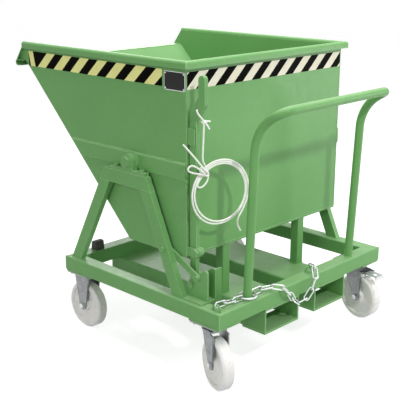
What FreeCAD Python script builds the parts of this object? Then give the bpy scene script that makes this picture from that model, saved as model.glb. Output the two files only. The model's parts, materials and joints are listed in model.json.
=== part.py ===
import FreeCAD, Part
import math
import os

V = FreeCAD.Vector

# Tipping skip on a wheeled frame with fork pockets. Millimetres, +Z up, +X to the push handle,
# -X to the pouring side. X is measured from the middle of the frame until the pieces are saved.

# Shared working values
overrun = 5.0
running_clearance = 0.05
loose_clearance = 0.3
sheet_gap = 1.0
join_tolerance = 0.00001

# Frame of four mitred square tubes
frame_length = 900.0
frame_width = 1030.0
frame_tube = 60.0
frame_wall = 4.0
tube_edge_radius = 5.0
frame_underside = 257.0

# Fork pockets under the frame, folded from plate, with a flat strap across each end
pocket_width = 206.0
pocket_height = 94.0
pocket_wall = 6.0
pocket_bend_radius = 9.0
pocket_spacing = 310.0
strap_length = 115.0
strap_thickness = 8.0

# Skip: walls, floor, sloped front sheet
skip_width = 928.0
skip_floor_height = 468.0
skip_rear_x = 235.0
skip_floor_length = 320.0
skip_rim_height = 1200.0
front_slope_degrees = 45.0
side_wall = 3.0
rear_wall = 6.0
floor_plate = 8.0
front_sheet = 3.0

# Pouring lip and the slanted front edges of the side walls
lip_below_rim = 80.0
lip_reach = 46.0
lip_nose_radius = 13.0
lip_return = 16.0
lip_side_reach = 12.0
top_front_setback = 52.0
edge_flange = 16.0

# Rolled rim round three sides
rim_width = 22.0
rim_drop = 28.0

# Reinforcing bars on the sides, which carry the trunnions
band_height = 70.0
band_proud = 8.0
band_chamfer = 6.0
band_front_setback = 18.0

# Trunnions and the two stands that carry the skip
pivot_x = -52.0
pivot_height = 795.0
trunnion_radius = 15.0
trunnion_flange_radius = 34.0
trunnion_flange = 3.0
trunnion_nut_across = 38.0
trunnion_nut_height = 9.0
washer_radius = 25.0
washer_thickness = 3.0
stand_depth = 25.0
stand_head_middle_x = -66.0
stand_foot_middle_x = -85.0
stand_head_top = 752.0
stand_head_height = 54.0
stand_head_length = 240.0
stand_foot_length = 670.0
stand_leg_width = 50.0
stand_wall = 4.0

# Bearing blocks on the stand heads
bearing_base_length = 196.0
bearing_base_height = 12.0
bearing_outer_radius = 31.0
bearing_bolt_spacing = 148.0
bearing_bolt_across = 17.0
bearing_bolt_height = 8.0

# Rest posts on the pockets and rubber stops on the front tube
post_tube = 40.0
post_wall = 4.0
post_x = 208.0
post_spacing = 474.0
buffer_length = 36.0
buffer_width = 44.0
buffer_height = 38.0
buffer_taper = 5.0
buffer_round_radius = 6.0
buffer_spacing = 722.0

# Push handle
handle_tube_radius = 16.85
handle_wall = 3.2
handle_span = 652.0
handle_foot_x = 417.0
handle_lean_degrees = 2.5
handle_slope_degrees = 30.0
handle_bar_x = 568.0
handle_bar_height = 1043.0
handle_bend_radius = 165.0
handle_corner_radius = 45.0

# Release lever with its hook, on the left of the rear wall
lever_inset = 19.0
lever_thickness = 16.0
lever_width = 32.0
lever_wall_gap = 7.0
lever_pivot_height = 495.0
lever_pin_radius = 8.0
lever_foot_height = 343.0
lever_grip_bottom = 1046.0
lever_grip_top = 1152.0
lever_grip_offset = 43.0
lever_neck_bottom = 985.0
lever_boss_radius = 18.0
lever_ear = 6.0
lever_ear_radius = 17.0
lever_pin_head = 5.0
rope_hole_radius = 7.0
hook_height = 372.0
hook_gap = 1.0
hook_nose_rise = 20.0
guide_height = 930.0
guide_length = 60.0
guide_cheek = 4.0
guide_reach = 36.0
lever_side_gap = 2.0

# Catch on the left tube of the frame
catch_pin_radius = 8.0
catch_pin_depth = 10.0
catch_plate = 8.0
catch_base = 8.0
catch_length = 97.0
catch_plate_height = 129.0
catch_top_drop = 64.0
catch_front_gap = 1.0
catch_round_radius = 12.0
catch_flange = 34.0
brace_thickness = 6.0
brace_width = 26.0
brace_leg_height = 490.0
brace_bolt_across = 19.0
brace_bolt_height = 8.0

# Casters
wheel_radius = 100.0
wheel_width = 48.0
wheel_edge_radius = 7.0
wheel_rim_depth = 18.0
wheel_recess = 9.0
wheel_hub_radius = 27.0
wheel_hub_length = 56.0
axle_sleeve_radius = 10.0
axle_bolt_radius = 6.0
axle_nut_across = 19.0
axle_nut_height = 8.0
fork_side_gap = 1.5
fork_plate = 5.0
fork_axle_radius = 20.0
fork_top_width = 92.0
fork_crown = 7.0
caster_plate_length = 135.0
caster_plate_width = 110.0
caster_plate = 7.0
caster_bolt_length = 105.0
caster_bolt_width = 80.0
caster_bolt_across = 17.0
caster_bolt_height = 7.0
corner_plate = 6.0
corner_plate_margin = 2.0
caster_inset = 61.0
front_caster_x = -379.0
rear_caster_x = 362.0
swivel_trail = 48.0
swivel_race_radius = 36.0
swivel_race_height = 14.0
kingpin_radius = 9.0
kingpin_head_radius = 15.0
kingpin_head = 6.0
left_swivel_degrees = -22.0
right_swivel_degrees = -7.0

# Foot brake on the right swivel caster
braked_casters = ("rear_right",)
brake_pin_radius = 4.0
brake_pin_x = 86.0
brake_pin_drop = 19.0
brake_barrel_radius = 8.0
brake_barrel_length = 44.0
brake_pedal_length = 66.0
brake_pedal_width = 52.0
brake_pedal_plate = 4.0
brake_pedal_lip = 12.0
brake_slot_share = 0.45

# Safety chain on the rear tube
chain_wire_radius = 3.0
link_inner_length = 47.75
link_inner_width = 14.0
link_spacing_share = 0.995
anchor_radius = 4.0
anchor_inner_radius = 13.0
anchor_neck = 9.0
left_anchor_y = -493.5
right_anchor_y = 56.0
chain_ring_radius = 34.0
chain_stand_off = 17.0
chain_drop = 83.0
hook_wire_radius = 4.0
snap_inner_length = 50.0
snap_inner_width = 17.0

# Route of the hanging chain: share of the way to the anchor, share of the way out over the
# tube's edge, share of the drop
chain_route_shares = [
    (0.00, 0.00, 0.00), (0.10, 0.32, -0.04), (0.20, 0.90, -0.04), (0.30, 1.16, 0.18),
    (0.42, 1.08, 0.60), (0.54, 1.00, 0.92), (0.64, 1.00, 1.00), (0.74, 1.06, 0.86),
    (0.82, 1.20, 0.48), (0.885, 1.16, 0.08), (0.935, 0.80, -0.15), (1.00, 0.00, 0.00),
]

# Pull rope on the lever: a stopper knot behind the lever, a lead through its hole and round its rear
# edge, a bow, and a hung, tied coil
cord_run_share = 0.45
rope_radius = 3.5
rope_knot_radius = 9.0
rope_knot_height = 24.0
coil_turns = 3
coil_inner_radius = 107.0
coil_pitch = 8.0
coil_stand_off = 75.0
coil_aside = 83.2
coil_height = 715.4
coil_tilt_degrees = -14.0
tie_turn_degrees = 40.0
tie_wraps = 2
tie_gap = 0.5
lead_overhang = 6.0
lead_round_reach = 19.5
lead_round_drop = 20.75
coil_end_degrees = 302.0
coil_end_length = 58.0
coil_end_lean_degrees = 24.0

# Routes of the rope in the coil's own directions: across, up and out from the wall. The tie's tail
# and loop start from the middle of the tie; the lead and its bow start from the middle of the coil.
tail_route = [V(-1.0, 7.0, 14.8), V(-41.0, 57.0, 13.5), V(-87.0, 110.0, 8.0)]
loop_route = [V(-5.0, -1.0, 14.8), V(-47.0, 31.0, 13.5), V(-66.0, 28.0, 12.0),
              V(-71.0, 14.0, 11.0), V(-56.0, 4.0, 12.0), V(-8.0, -9.0, 14.8)]
bow_route = [V(-78.0, 276.6, 10.2), V(-73.0, 126.0, -8.8), V(-56.0, 100.0, -9.2), V(-47.0, 71.0, -8.0),
             V(-57.0, 46.0, -4.0), V(-80.5, 30.0, -1.0), V(-102.4, 35.1, 0.0)]

# Derived places of the frame
half_length = frame_length / 2
half_width = frame_width / 2
frame_top = frame_underside + frame_tube
half_skip = skip_width / 2
caster_track = frame_width - 2 * caster_inset
slope = math.tan(math.radians(front_slope_degrees))
rim_radius = (rim_width + side_wall) / 2
wall_top = skip_rim_height - rim_radius
lip_height = skip_rim_height - lip_below_rim
floor_front_x = skip_rear_x - skip_floor_length
sheet_top_x = floor_front_x - (lip_height - skip_floor_height) / slope
sheet_width_x = front_sheet / math.sin(math.radians(front_slope_degrees))
lip_nose_x = sheet_top_x - lip_reach
lip_front_x = lip_nose_x - lip_nose_radius
top_front_x = lip_nose_x + top_front_setback
bearing_inner_y = half_skip + band_proud + trunnion_flange + sheet_gap
stand_outer_y = bearing_inner_y + stand_depth
lever_middle_y = lever_inset - half_skip
lever_front_x = skip_rear_x + lever_wall_gap
lever_rear_x = lever_front_x + lever_width
lever_pivot_x = lever_rear_x
catch_pin_x = lever_rear_x - catch_pin_depth
catch_outer_y = -(bearing_inner_y - brace_thickness)
catch_gap = 2 * (lever_middle_y - catch_outer_y - catch_plate)
handle_rear_x = handle_bar_x + handle_tube_radius
coil_centre = V(skip_rear_x + coil_stand_off, lever_middle_y + coil_aside, coil_height)

# The origin lies on the floor, midway between the pouring lip and the push handle
origin_shift = V(-(lip_front_x + handle_rear_x) / 2, 0, 0)


def box(x0, x1, y0, y1, z0, z1):
    return Part.makeBox(x1 - x0, y1 - y0, z1 - z0, V(x0, y0, z0))


def polygon(points):
    return Part.Face(Part.makePolygon(points + points[:1]))


def prism_y(outline, y0, y1):
    """Extrude an outline of (x, z) points from y0 to y1."""
    face = polygon([V(x, y0, z) for x, z in outline])
    return face.extrude(V(0, y1 - y0, 0))


def prism_z(outline, z0, z1):
    """Extrude an outline of (x, y) points from z0 to z1."""
    face = polygon([V(x, y, z0) for x, y in outline])
    return face.extrude(V(0, 0, z1 - z0))


def rod(start, end, radius):
    return Part.makeCylinder(radius, (end - start).Length, start, end - start)


def hexagon(start, end, across):
    """Six-sided bolt head or nut from start to end."""
    axis = (end - start).normalize()
    helper = V(1, 0, 0) if abs(axis.x) < abs(axis.z) + abs(axis.y) else V(0, 0, 1)
    side = axis.cross(helper).normalize()
    up = axis.cross(side)
    reach = across / math.sqrt(3)
    turns = [math.radians(60 * i) for i in range(6)]
    points = [start + side * (reach * math.cos(t)) + up * (reach * math.sin(t)) for t in turns]
    return polygon(points).extrude(end - start)


def mirrored(shape):
    """The same piece on the other side of the trolley."""
    return shape.mirror(V(0, 0, 0), V(0, 1, 0))


def corner_arc(before, point, after, radius):
    """Start, middle and end of the arc that rounds one corner."""
    back = (before - point).normalize()
    ahead = (after - point).normalize()
    half = back.getAngle(ahead) / 2
    reach = radius / math.tan(half)
    inward = (back + ahead).normalize()
    centre = point + inward * (radius / math.sin(half))
    return point + back * reach, centre - inward * radius, point + ahead * reach


def rounded_edges(points, radii, closed=False):
    """Straight runs joined by tangent arcs; a radius of zero leaves a sharp corner."""
    count = len(points)
    stops = []
    for i, point in enumerate(points):
        is_end = not closed and i in (0, count - 1)
        if is_end or radii[i] == 0:
            stops.append((point, None, point))
        else:
            stops.append(corner_arc(points[i - 1], point, points[(i + 1) % count], radii[i]))
    edges = []
    for i, (start, middle, end) in enumerate(stops):
        if middle is not None:
            edges.append(Part.Arc(start, middle, end).toShape())
        if closed or i < count - 1:
            following = stops[(i + 1) % count][0]
            if (following - end).Length > join_tolerance:
                edges.append(Part.LineSegment(end, following).toShape())
    return edges


def rounded_face(points, radii):
    return Part.Face(Part.Wire(rounded_edges(points, radii, closed=True)))


def sweep(path, start, direction, radius):
    circle = Part.Wire(Part.makeCircle(radius, start, direction))
    return path.makePipeShell([circle], True, False)


def square_tube(start, end, width, wall, edge_radius, up):
    """Square hollow section from start to end, rounded on its outer edges."""
    along = (end - start).normalize()
    across = along.cross(up).normalize()
    half = width / 2
    bore = half - wall
    signs = [(-1, -1), (1, -1), (1, 1), (-1, 1)]
    outer = rounded_face([start + across * (half * s) + up * (half * t) for s, t in signs],
                         [edge_radius] * len(signs))
    inner = polygon([start + across * (bore * s) + up * (bore * t) for s, t in signs])
    return outer.extrude(end - start).cut(inner.extrude(end - start))


def make_frame():
    """Two rails and two cross tubes with mitred corners."""
    middle_z = frame_underside + frame_tube / 2
    rail_y = half_width - frame_tube / 2
    beam_x = half_length - frame_tube / 2
    inner_x = half_length - frame_tube
    inner_y = half_width - frame_tube
    up = V(0, 0, 1)
    rail = square_tube(V(-half_length, -rail_y, middle_z), V(half_length, -rail_y, middle_z),
                       frame_tube, frame_wall, tube_edge_radius, up)
    rail_cut = prism_z([(-half_length, -half_width), (half_length, -half_width),
                        (inner_x, -inner_y), (-inner_x, -inner_y)], frame_underside, frame_top)
    beam = square_tube(V(beam_x, -half_width, middle_z), V(beam_x, half_width, middle_z),
                       frame_tube, frame_wall, tube_edge_radius, up)
    beam_cut = prism_z([(half_length, -half_width), (half_length, half_width),
                        (inner_x, inner_y), (inner_x, -inner_y)], frame_underside, frame_top)
    left_rail = rail.common(rail_cut)
    rear_beam = beam.common(beam_cut)
    return {
        "left_rail": left_rail,
        "right_rail": mirrored(left_rail),
        "rear_beam": rear_beam,
        "front_beam": rear_beam.mirror(V(0, 0, 0), V(1, 0, 0)),
    }


def make_pocket():
    """Folded fork pocket, open below, on the right of the trolley."""
    x = -half_length
    middle_y = pocket_spacing / 2
    outer = pocket_width / 2
    inner = outer - pocket_wall
    top = frame_underside
    bottom = top - pocket_height
    inside = top - pocket_wall
    ends = [(-outer, bottom), (-outer, top), (outer, top), (outer, bottom),
            (inner, bottom), (inner, inside), (-inner, inside), (-inner, bottom)]
    bend = pocket_bend_radius
    inner_bend = pocket_bend_radius - pocket_wall
    radii = [0, bend, bend, 0, 0, inner_bend, inner_bend, 0]
    face = rounded_face([V(x, middle_y + y, z) for y, z in ends], radii)
    return face.extrude(V(frame_length, 0, 0))


def make_pocket_straps():
    """Flat straps welded under both ends of both pockets."""
    top = frame_underside - pocket_height
    middle_y = pocket_spacing / 2
    straps = []
    for side in (-1, 1):
        y0 = side * middle_y - pocket_width / 2
        for x0 in (-half_length, half_length - strap_length):
            straps.append(box(x0, x0 + strap_length, y0, y0 + pocket_width,
                              top - strap_thickness, top))
    return Part.Compound(straps)


def make_side_wall():
    """Left wall of the skip, one sheet with its slanted front edge folded outward."""
    y0 = -half_skip
    outline = [(skip_rear_x, skip_floor_height), (skip_rear_x, wall_top), (top_front_x, wall_top),
               (lip_nose_x, lip_height), (sheet_top_x, lip_height),
               (floor_front_x, skip_floor_height)]
    wall = prism_y(outline, y0, y0 + side_wall)
    slant = V(lip_nose_x - top_front_x, 0, lip_height - wall_top).normalize()
    inset = V(-slant.z, 0, slant.x) * side_wall
    if inset.x < 0:
        inset = inset * -1
    top = V(top_front_x, y0, wall_top)
    foot = V(lip_nose_x, y0, lip_height)
    strip = polygon([top, foot, foot + inset, top + inset])
    flange = strip.extrude(V(0, -edge_flange, 0))
    below_top = box(lip_front_x, skip_rear_x, y0 - edge_flange, y0, lip_height, wall_top)
    return wall.fuse(flange.common(below_top)).removeSplitter()


def make_skip_sheets():
    """Rear wall, floor and sloped front sheet between the side walls."""
    y0 = -(half_skip - side_wall)
    y1 = -y0
    floor_top = skip_floor_height + floor_plate
    rear = box(skip_rear_x - rear_wall, skip_rear_x, y0, y1, floor_top, wall_top)
    foot_x = floor_front_x + sheet_width_x
    floor = prism_y([(foot_x, skip_floor_height), (skip_rear_x, skip_floor_height),
                     (skip_rear_x, floor_top), (foot_x - floor_plate / slope, floor_top)], y0, y1)
    sheet_top = lip_height - side_wall
    top_x = floor_front_x - (sheet_top - skip_floor_height) / slope
    front = prism_y([(floor_front_x, skip_floor_height), (foot_x, skip_floor_height),
                     (top_x + sheet_width_x, sheet_top), (top_x, sheet_top)], y0, y1)
    return {"skip_rear_wall": rear, "skip_floor": floor, "skip_front_sheet": front}


def make_pouring_lip():
    """Hem along the pouring edge: a shelf, a round nose and a short return below."""
    y0 = -(half_skip + lip_side_reach)
    top = lip_height
    bottom = top - 2 * lip_nose_radius
    inner = lip_nose_radius - side_wall
    middle = top - lip_nose_radius
    shelf_x = sheet_top_x + sheet_width_x + side_wall / slope
    return_x = lip_nose_x + lip_return

    def at(x, z):
        return V(x, y0, z)

    edges = [
        Part.LineSegment(at(shelf_x, top), at(lip_nose_x, top)).toShape(),
        Part.Arc(at(lip_nose_x, top), at(lip_front_x, middle), at(lip_nose_x, bottom)).toShape(),
        Part.LineSegment(at(lip_nose_x, bottom), at(return_x, bottom)).toShape(),
        Part.LineSegment(at(return_x, bottom), at(return_x, bottom + side_wall)).toShape(),
        Part.LineSegment(at(return_x, bottom + side_wall),
                         at(lip_nose_x, bottom + side_wall)).toShape(),
        Part.Arc(at(lip_nose_x, bottom + side_wall), at(lip_nose_x - inner, middle),
                 at(lip_nose_x, top - side_wall)).toShape(),
        Part.LineSegment(at(lip_nose_x, top - side_wall), at(shelf_x, top - side_wall)).toShape(),
        Part.LineSegment(at(shelf_x, top - side_wall), at(shelf_x, top)).toShape(),
    ]
    face = Part.Face(Part.Wire(edges))
    lip = face.extrude(V(0, -2 * y0, 0))
    inside = half_skip - side_wall
    trim_x = sheet_top_x - side_wall
    for side in (-1, 1):
        ends = sorted((side * inside, side * (half_skip + lip_side_reach)))
        lip = lip.cut(box(trim_x, shelf_x, ends[0], ends[1], bottom, top))
    return lip


def rim_profile(place):
    """Rolled edge; place turns (outward, height) into a point of the profile's plane."""
    inner = rim_radius - side_wall
    middle = rim_width - rim_radius
    drop = skip_rim_height - rim_drop
    edges = [
        Part.Arc(place(-side_wall, wall_top), place(middle, skip_rim_height),
                 place(rim_width, wall_top)).toShape(),
        Part.LineSegment(place(rim_width, wall_top), place(rim_width, drop)).toShape(),
        Part.LineSegment(place(rim_width, drop), place(rim_width - side_wall, drop)).toShape(),
        Part.LineSegment(place(rim_width - side_wall, drop),
                         place(rim_width - side_wall, wall_top)).toShape(),
        Part.Arc(place(rim_width - side_wall, wall_top), place(middle, wall_top + inner),
                 place(0, wall_top)).toShape(),
        Part.LineSegment(place(0, wall_top), place(-side_wall, wall_top)).toShape(),
    ]
    return Part.Face(Part.Wire(edges))


def make_rim():
    """Rolled rim of the left, right and rear walls, mitred at the rear corners."""
    outer_x = skip_rear_x + rim_width
    outer_y = half_skip + rim_width
    inner_x = skip_rear_x - side_wall
    inner_y = half_skip - side_wall
    low = skip_rim_height - rim_drop
    side = rim_profile(lambda out, z: V(top_front_x, -half_skip - out, z))
    side = side.extrude(V(outer_x - top_front_x, 0, 0))
    side_region = prism_z([(top_front_x, -inner_y), (inner_x, -inner_y),
                           (outer_x, -outer_y), (top_front_x, -outer_y)], low, skip_rim_height)
    rear = rim_profile(lambda out, z: V(skip_rear_x + out, -outer_y, z))
    rear = rear.extrude(V(0, 2 * outer_y, 0))
    rear_region = prism_z([(inner_x, -inner_y), (inner_x, inner_y),
                           (outer_x, outer_y), (outer_x, -outer_y)], low, skip_rim_height)
    left = side.common(side_region)
    return {"rim_left": left, "rim_right": mirrored(left), "rim_rear": rear.common(rear_region)}


def make_side_band():
    """Flat bar with bevelled edges along the left wall, cut to the slope at its front end."""
    low = pivot_height - band_height / 2
    high = pivot_height + band_height / 2
    face = polygon([V(skip_rear_x, -half_skip, low),
                    V(skip_rear_x, -half_skip - band_proud, low + band_chamfer),
                    V(skip_rear_x, -half_skip - band_proud, high - band_chamfer),
                    V(skip_rear_x, -half_skip, high)])
    bar = face.extrude(V(lip_front_x - skip_rear_x, 0, 0))
    front_low = floor_front_x - (low - skip_floor_height) / slope + band_front_setback
    front_high = front_low - band_height / slope
    keep = prism_y([(front_low, low), (skip_rear_x, low), (skip_rear_x, high), (front_high, high)],
                   -half_skip - band_proud, -half_skip)
    hole = rod(V(pivot_x, -half_skip, pivot_height),
               V(pivot_x, -half_skip - band_proud - overrun, pivot_height),
               trunnion_radius + loose_clearance)
    return bar.common(keep).cut(hole)


def make_trunnion():
    """Left trunnion: pin and welded flange, with its washer and nut outside the bearing."""
    outer = -half_skip - band_proud
    flange_end = outer - trunnion_flange
    bearing_end = -stand_outer_y
    washer_start = bearing_end - loose_clearance
    washer_end = washer_start - washer_thickness
    pin_end = washer_end - trunnion_nut_height

    def at(y):
        return V(pivot_x, y, pivot_height)

    pin = rod(at(-half_skip), at(pin_end), trunnion_radius)
    flange = rod(at(outer), at(flange_end), trunnion_flange_radius)
    washer = rod(at(washer_start), at(washer_end), washer_radius)
    nut = hexagon(at(washer_end), at(pin_end), trunnion_nut_across)
    nut_hole = rod(at(washer_start + overrun), at(pin_end - overrun),
                   trunnion_radius + loose_clearance)
    body = pin.fuse(flange).removeSplitter()
    return Part.Compound([body, washer.cut(nut_hole), nut.cut(nut_hole)])


def leg_x(height, side):
    """X of a stand's outer edge at a height, at the front (-1) or the rear (1)."""
    rise = (height - frame_top) / (stand_head_top - frame_top)
    middle = stand_foot_middle_x + (stand_head_middle_x - stand_foot_middle_x) * rise
    half = (stand_foot_length + (stand_head_length - stand_foot_length) * rise) / 2
    return middle + side * half


def make_stand_leg(side):
    """One leg of the left stand, a flat rectangular tube."""
    head_bottom = stand_head_top - stand_head_height
    lean = (leg_x(frame_top, side) - leg_x(head_bottom, side)) / (head_bottom - frame_top)
    width_x = side * stand_leg_width * math.hypot(1, lean)
    wall_x = side * stand_wall * math.hypot(1, lean)
    low = frame_top - overrun
    high = head_bottom + overrun
    feet = [(z, leg_x(z, side)) for z in (frame_top, head_bottom)]
    bores = [(z, leg_x(z, side)) for z in (low, high)]
    outer = [(feet[0][1] - width_x, feet[0][0]), (feet[0][1], feet[0][0]),
             (feet[1][1], feet[1][0]), (feet[1][1] - width_x, feet[1][0])]
    inner = [(bores[0][1] - width_x + wall_x, bores[0][0]), (bores[0][1] - wall_x, bores[0][0]),
             (bores[1][1] - wall_x, bores[1][0]), (bores[1][1] - width_x + wall_x, bores[1][0])]
    y0 = -stand_outer_y
    y1 = -bearing_inner_y
    return prism_y(outer, y0, y1).cut(prism_y(inner, y0 + stand_wall, y1 - stand_wall))


def make_stand_head():
    """Tube across the top of the left stand, its ends following the legs."""
    bottom = stand_head_top - stand_head_height
    y0 = -stand_outer_y
    y1 = -bearing_inner_y
    outline = [(leg_x(bottom, -1), bottom), (leg_x(bottom, 1), bottom),
               (leg_x(stand_head_top, 1), stand_head_top),
               (leg_x(stand_head_top, -1), stand_head_top)]
    bore = box(leg_x(bottom, -1) + stand_leg_width, leg_x(bottom, 1) - stand_leg_width,
               y0 + stand_wall, y1 - stand_wall, bottom + stand_wall, stand_head_top - stand_wall)
    return prism_y(outline, y0, y1).cut(bore)


def make_bearing():
    """Left bearing block: a base with a round-topped housing bored for the trunnion."""
    y0 = -stand_outer_y
    y1 = -bearing_inner_y
    half_base = bearing_base_length / 2
    base_top = stand_head_top + bearing_base_height
    base = box(pivot_x - half_base, pivot_x + half_base, y0, y1, stand_head_top, base_top)
    cheek = box(pivot_x - bearing_outer_radius, pivot_x + bearing_outer_radius, y0, y1,
                base_top, pivot_height)
    crown = rod(V(pivot_x, y0, pivot_height), V(pivot_x, y1, pivot_height), bearing_outer_radius)
    bore = rod(V(pivot_x, y0 - overrun, pivot_height), V(pivot_x, y1 + overrun, pivot_height),
               trunnion_radius + running_clearance)
    return base.fuse(cheek).fuse(crown).cut(bore).removeSplitter()


def make_bearing_bolts():
    """Bolt heads that hold both bearing blocks down."""
    middle_y = (bearing_inner_y + stand_outer_y) / 2
    low = stand_head_top + bearing_base_height
    heads = []
    for side in (-1, 1):
        for end in (-1, 1):
            foot = V(pivot_x + end * bearing_bolt_spacing / 2, side * middle_y, low)
            heads.append(hexagon(foot, foot + V(0, 0, bearing_bolt_height), bearing_bolt_across))
    return heads


def make_rest_posts():
    """Square posts that stand on the fork pockets and carry the skip's floor."""
    top = skip_floor_height - loose_clearance
    posts = []
    for side in (-1, 1):
        y = side * post_spacing / 2
        post = square_tube(V(post_x, y, frame_underside), V(post_x, y, top - post_wall),
                           post_tube, post_wall, post_wall, V(1, 0, 0))
        half = post_tube / 2
        cap = box(post_x - half, post_x + half, y - half, y + half, top - post_wall, top)
        posts.append(post.fuse(cap).removeSplitter())
    return Part.Compound(posts)


def make_buffers():
    """Rubber blocks on the front tube, which stop the tipped skip."""
    x = -half_length + frame_tube / 2
    half = buffer_length / 2
    top = frame_top + buffer_height
    blocks = []
    for side in (-1, 1):
        y0 = side * buffer_spacing / 2 - buffer_width / 2
        outline = [V(x - half, y0, frame_top), V(x + half, y0, frame_top),
                   V(x + half - buffer_taper, y0, top), V(x - half + buffer_taper, y0, top)]
        radii = [0, 0, buffer_round_radius, buffer_round_radius]
        blocks.append(rounded_face(outline, radii).extrude(V(0, buffer_width, 0)))
    return Part.Compound(blocks)


def handle_points():
    """Corner points of the handle's middle line, foot to foot."""
    lean = math.tan(math.radians(handle_lean_degrees))
    rise = math.tan(math.radians(handle_slope_degrees))
    base = handle_bar_x - handle_bar_height / rise
    knee_z = (handle_foot_x - frame_top * lean - base) / (1 / rise - lean)
    knee_x = base + knee_z / rise
    foot_z = frame_top - overrun
    foot_x = handle_foot_x - overrun * lean
    half = handle_span / 2
    left = [V(foot_x, -half, foot_z), V(knee_x, -half, knee_z),
            V(handle_bar_x, -half, handle_bar_height)]
    right = [V(p.x, half, p.z) for p in reversed(left)]
    return left + right


def make_handle():
    """Bent push handle, one tube welded to the rear tube at both feet."""
    points = handle_points()
    radii = [0, handle_bend_radius, handle_corner_radius,
             handle_corner_radius, handle_bend_radius, 0]
    path = Part.Wire(rounded_edges(points, radii))
    direction = points[1] - points[0]
    outer = sweep(path, points[0], direction, handle_tube_radius)
    bore = sweep(path, points[0], direction, handle_tube_radius - handle_wall)
    below = box(handle_foot_x - frame_tube, handle_foot_x + frame_tube, -handle_span, handle_span,
                frame_top - frame_tube, frame_top)
    return outer.cut(bore).cut(below)


def make_lever():
    """Release lever: hook below, long bar, cranked grip above, all cut from one flat."""
    grip_front = lever_front_x + lever_grip_offset
    grip_rear = grip_front + lever_width
    half_grip = lever_width / 2
    crank = lever_grip_bottom - lever_neck_bottom
    y0 = lever_middle_y - lever_thickness / 2
    outline = [V(lever_front_x, y0, lever_foot_height),
               V(lever_front_x, y0, lever_neck_bottom + crank / 2),
               V(grip_front, y0, lever_grip_bottom + crank / 2),
               V(grip_front, y0, lever_grip_top),
               V(grip_rear, y0, lever_grip_top),
               V(grip_rear, y0, lever_grip_bottom),
               V(lever_rear_x, y0, lever_neck_bottom),
               V(lever_rear_x, y0, lever_foot_height + hook_nose_rise),
               V(catch_pin_x, y0, lever_foot_height)]
    round_top = half_grip
    soft = half_grip
    radii = [0, soft, soft, round_top, round_top, soft, soft, 0, 0]
    bar = rounded_face(outline, radii).extrude(V(0, lever_thickness, 0))
    reach = lever_thickness / 2 + overrun
    pin_y0 = lever_middle_y - reach
    pin_y1 = lever_middle_y + reach

    def through(x, z, radius):
        return rod(V(x, pin_y0, z), V(x, pin_y1, z), radius)

    notch_radius = catch_pin_radius + hook_gap
    notch = through(catch_pin_x, hook_height, notch_radius)
    mouth = box(catch_pin_x, lever_rear_x + overrun, pin_y0, pin_y1,
                hook_height - notch_radius, hook_height + notch_radius)
    bore = through(lever_pivot_x, lever_pivot_height, lever_pin_radius + running_clearance)
    eye = through(rope_hole().x, rope_hole().z, rope_hole_radius)
    boss = rod(V(lever_pivot_x, y0, lever_pivot_height),
               V(lever_pivot_x, y0 + lever_thickness, lever_pivot_height), lever_boss_radius)
    lever = bar.fuse(boss).cut(notch).cut(mouth).cut(bore).cut(eye)
    return lever.removeSplitter()


def rope_hole():
    """Middle of the hole that the rope passes through, on the cranked neck of the lever."""
    x = lever_front_x + (lever_grip_offset + lever_width) / 2
    z = (lever_neck_bottom + lever_grip_bottom + (lever_grip_bottom - lever_neck_bottom) / 2) / 2
    return V(x, lever_middle_y, z)


def make_lever_ears():
    """Two ears welded to the rear wall, which hold the lever's pin."""
    inner = lever_thickness / 2 + lever_side_gap
    ears = []
    for side in (-1, 1):
        edges = sorted((lever_middle_y + side * inner,
                        lever_middle_y + side * (inner + lever_ear)))
        plate = box(skip_rear_x, lever_pivot_x, edges[0], edges[1],
                    lever_pivot_height - lever_ear_radius, lever_pivot_height + lever_ear_radius)
        nose = rod(V(lever_pivot_x, edges[0], lever_pivot_height),
                   V(lever_pivot_x, edges[1], lever_pivot_height), lever_ear_radius)
        bore = rod(V(lever_pivot_x, edges[0] - overrun, lever_pivot_height),
                   V(lever_pivot_x, edges[1] + overrun, lever_pivot_height),
                   lever_pin_radius + running_clearance)
        ears.append(plate.fuse(nose).cut(bore).removeSplitter())
    return ears


def make_lever_pin():
    """Pivot pin of the lever with a head at each end."""
    reach = lever_thickness / 2 + lever_side_gap + lever_ear + loose_clearance

    def at(y):
        return V(lever_pivot_x, lever_middle_y + y, lever_pivot_height)

    pin = rod(at(-reach), at(reach), lever_pin_radius)
    head_radius = lever_ear_radius - lever_side_gap
    left = hexagon(at(-reach), at(-reach - lever_pin_head), 2 * head_radius)
    right = rod(at(reach), at(reach + lever_pin_head), head_radius)
    return pin.fuse(left).fuse(right).removeSplitter()


def make_lever_guide():
    """Channel on the rear wall that keeps the lever upright and stops it at rest."""
    inner = lever_thickness / 2 + lever_side_gap
    outer = inner + guide_cheek
    low = guide_height - guide_length / 2
    high = guide_height + guide_length / 2
    back_x = lever_front_x - loose_clearance
    block = box(skip_rear_x, skip_rear_x + guide_reach, lever_middle_y - outer,
                lever_middle_y + outer, low, high)
    slot = box(back_x, skip_rear_x + guide_reach + overrun, lever_middle_y - inner,
               lever_middle_y + inner, low - overrun, high + overrun)
    return block.cut(slot)


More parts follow.
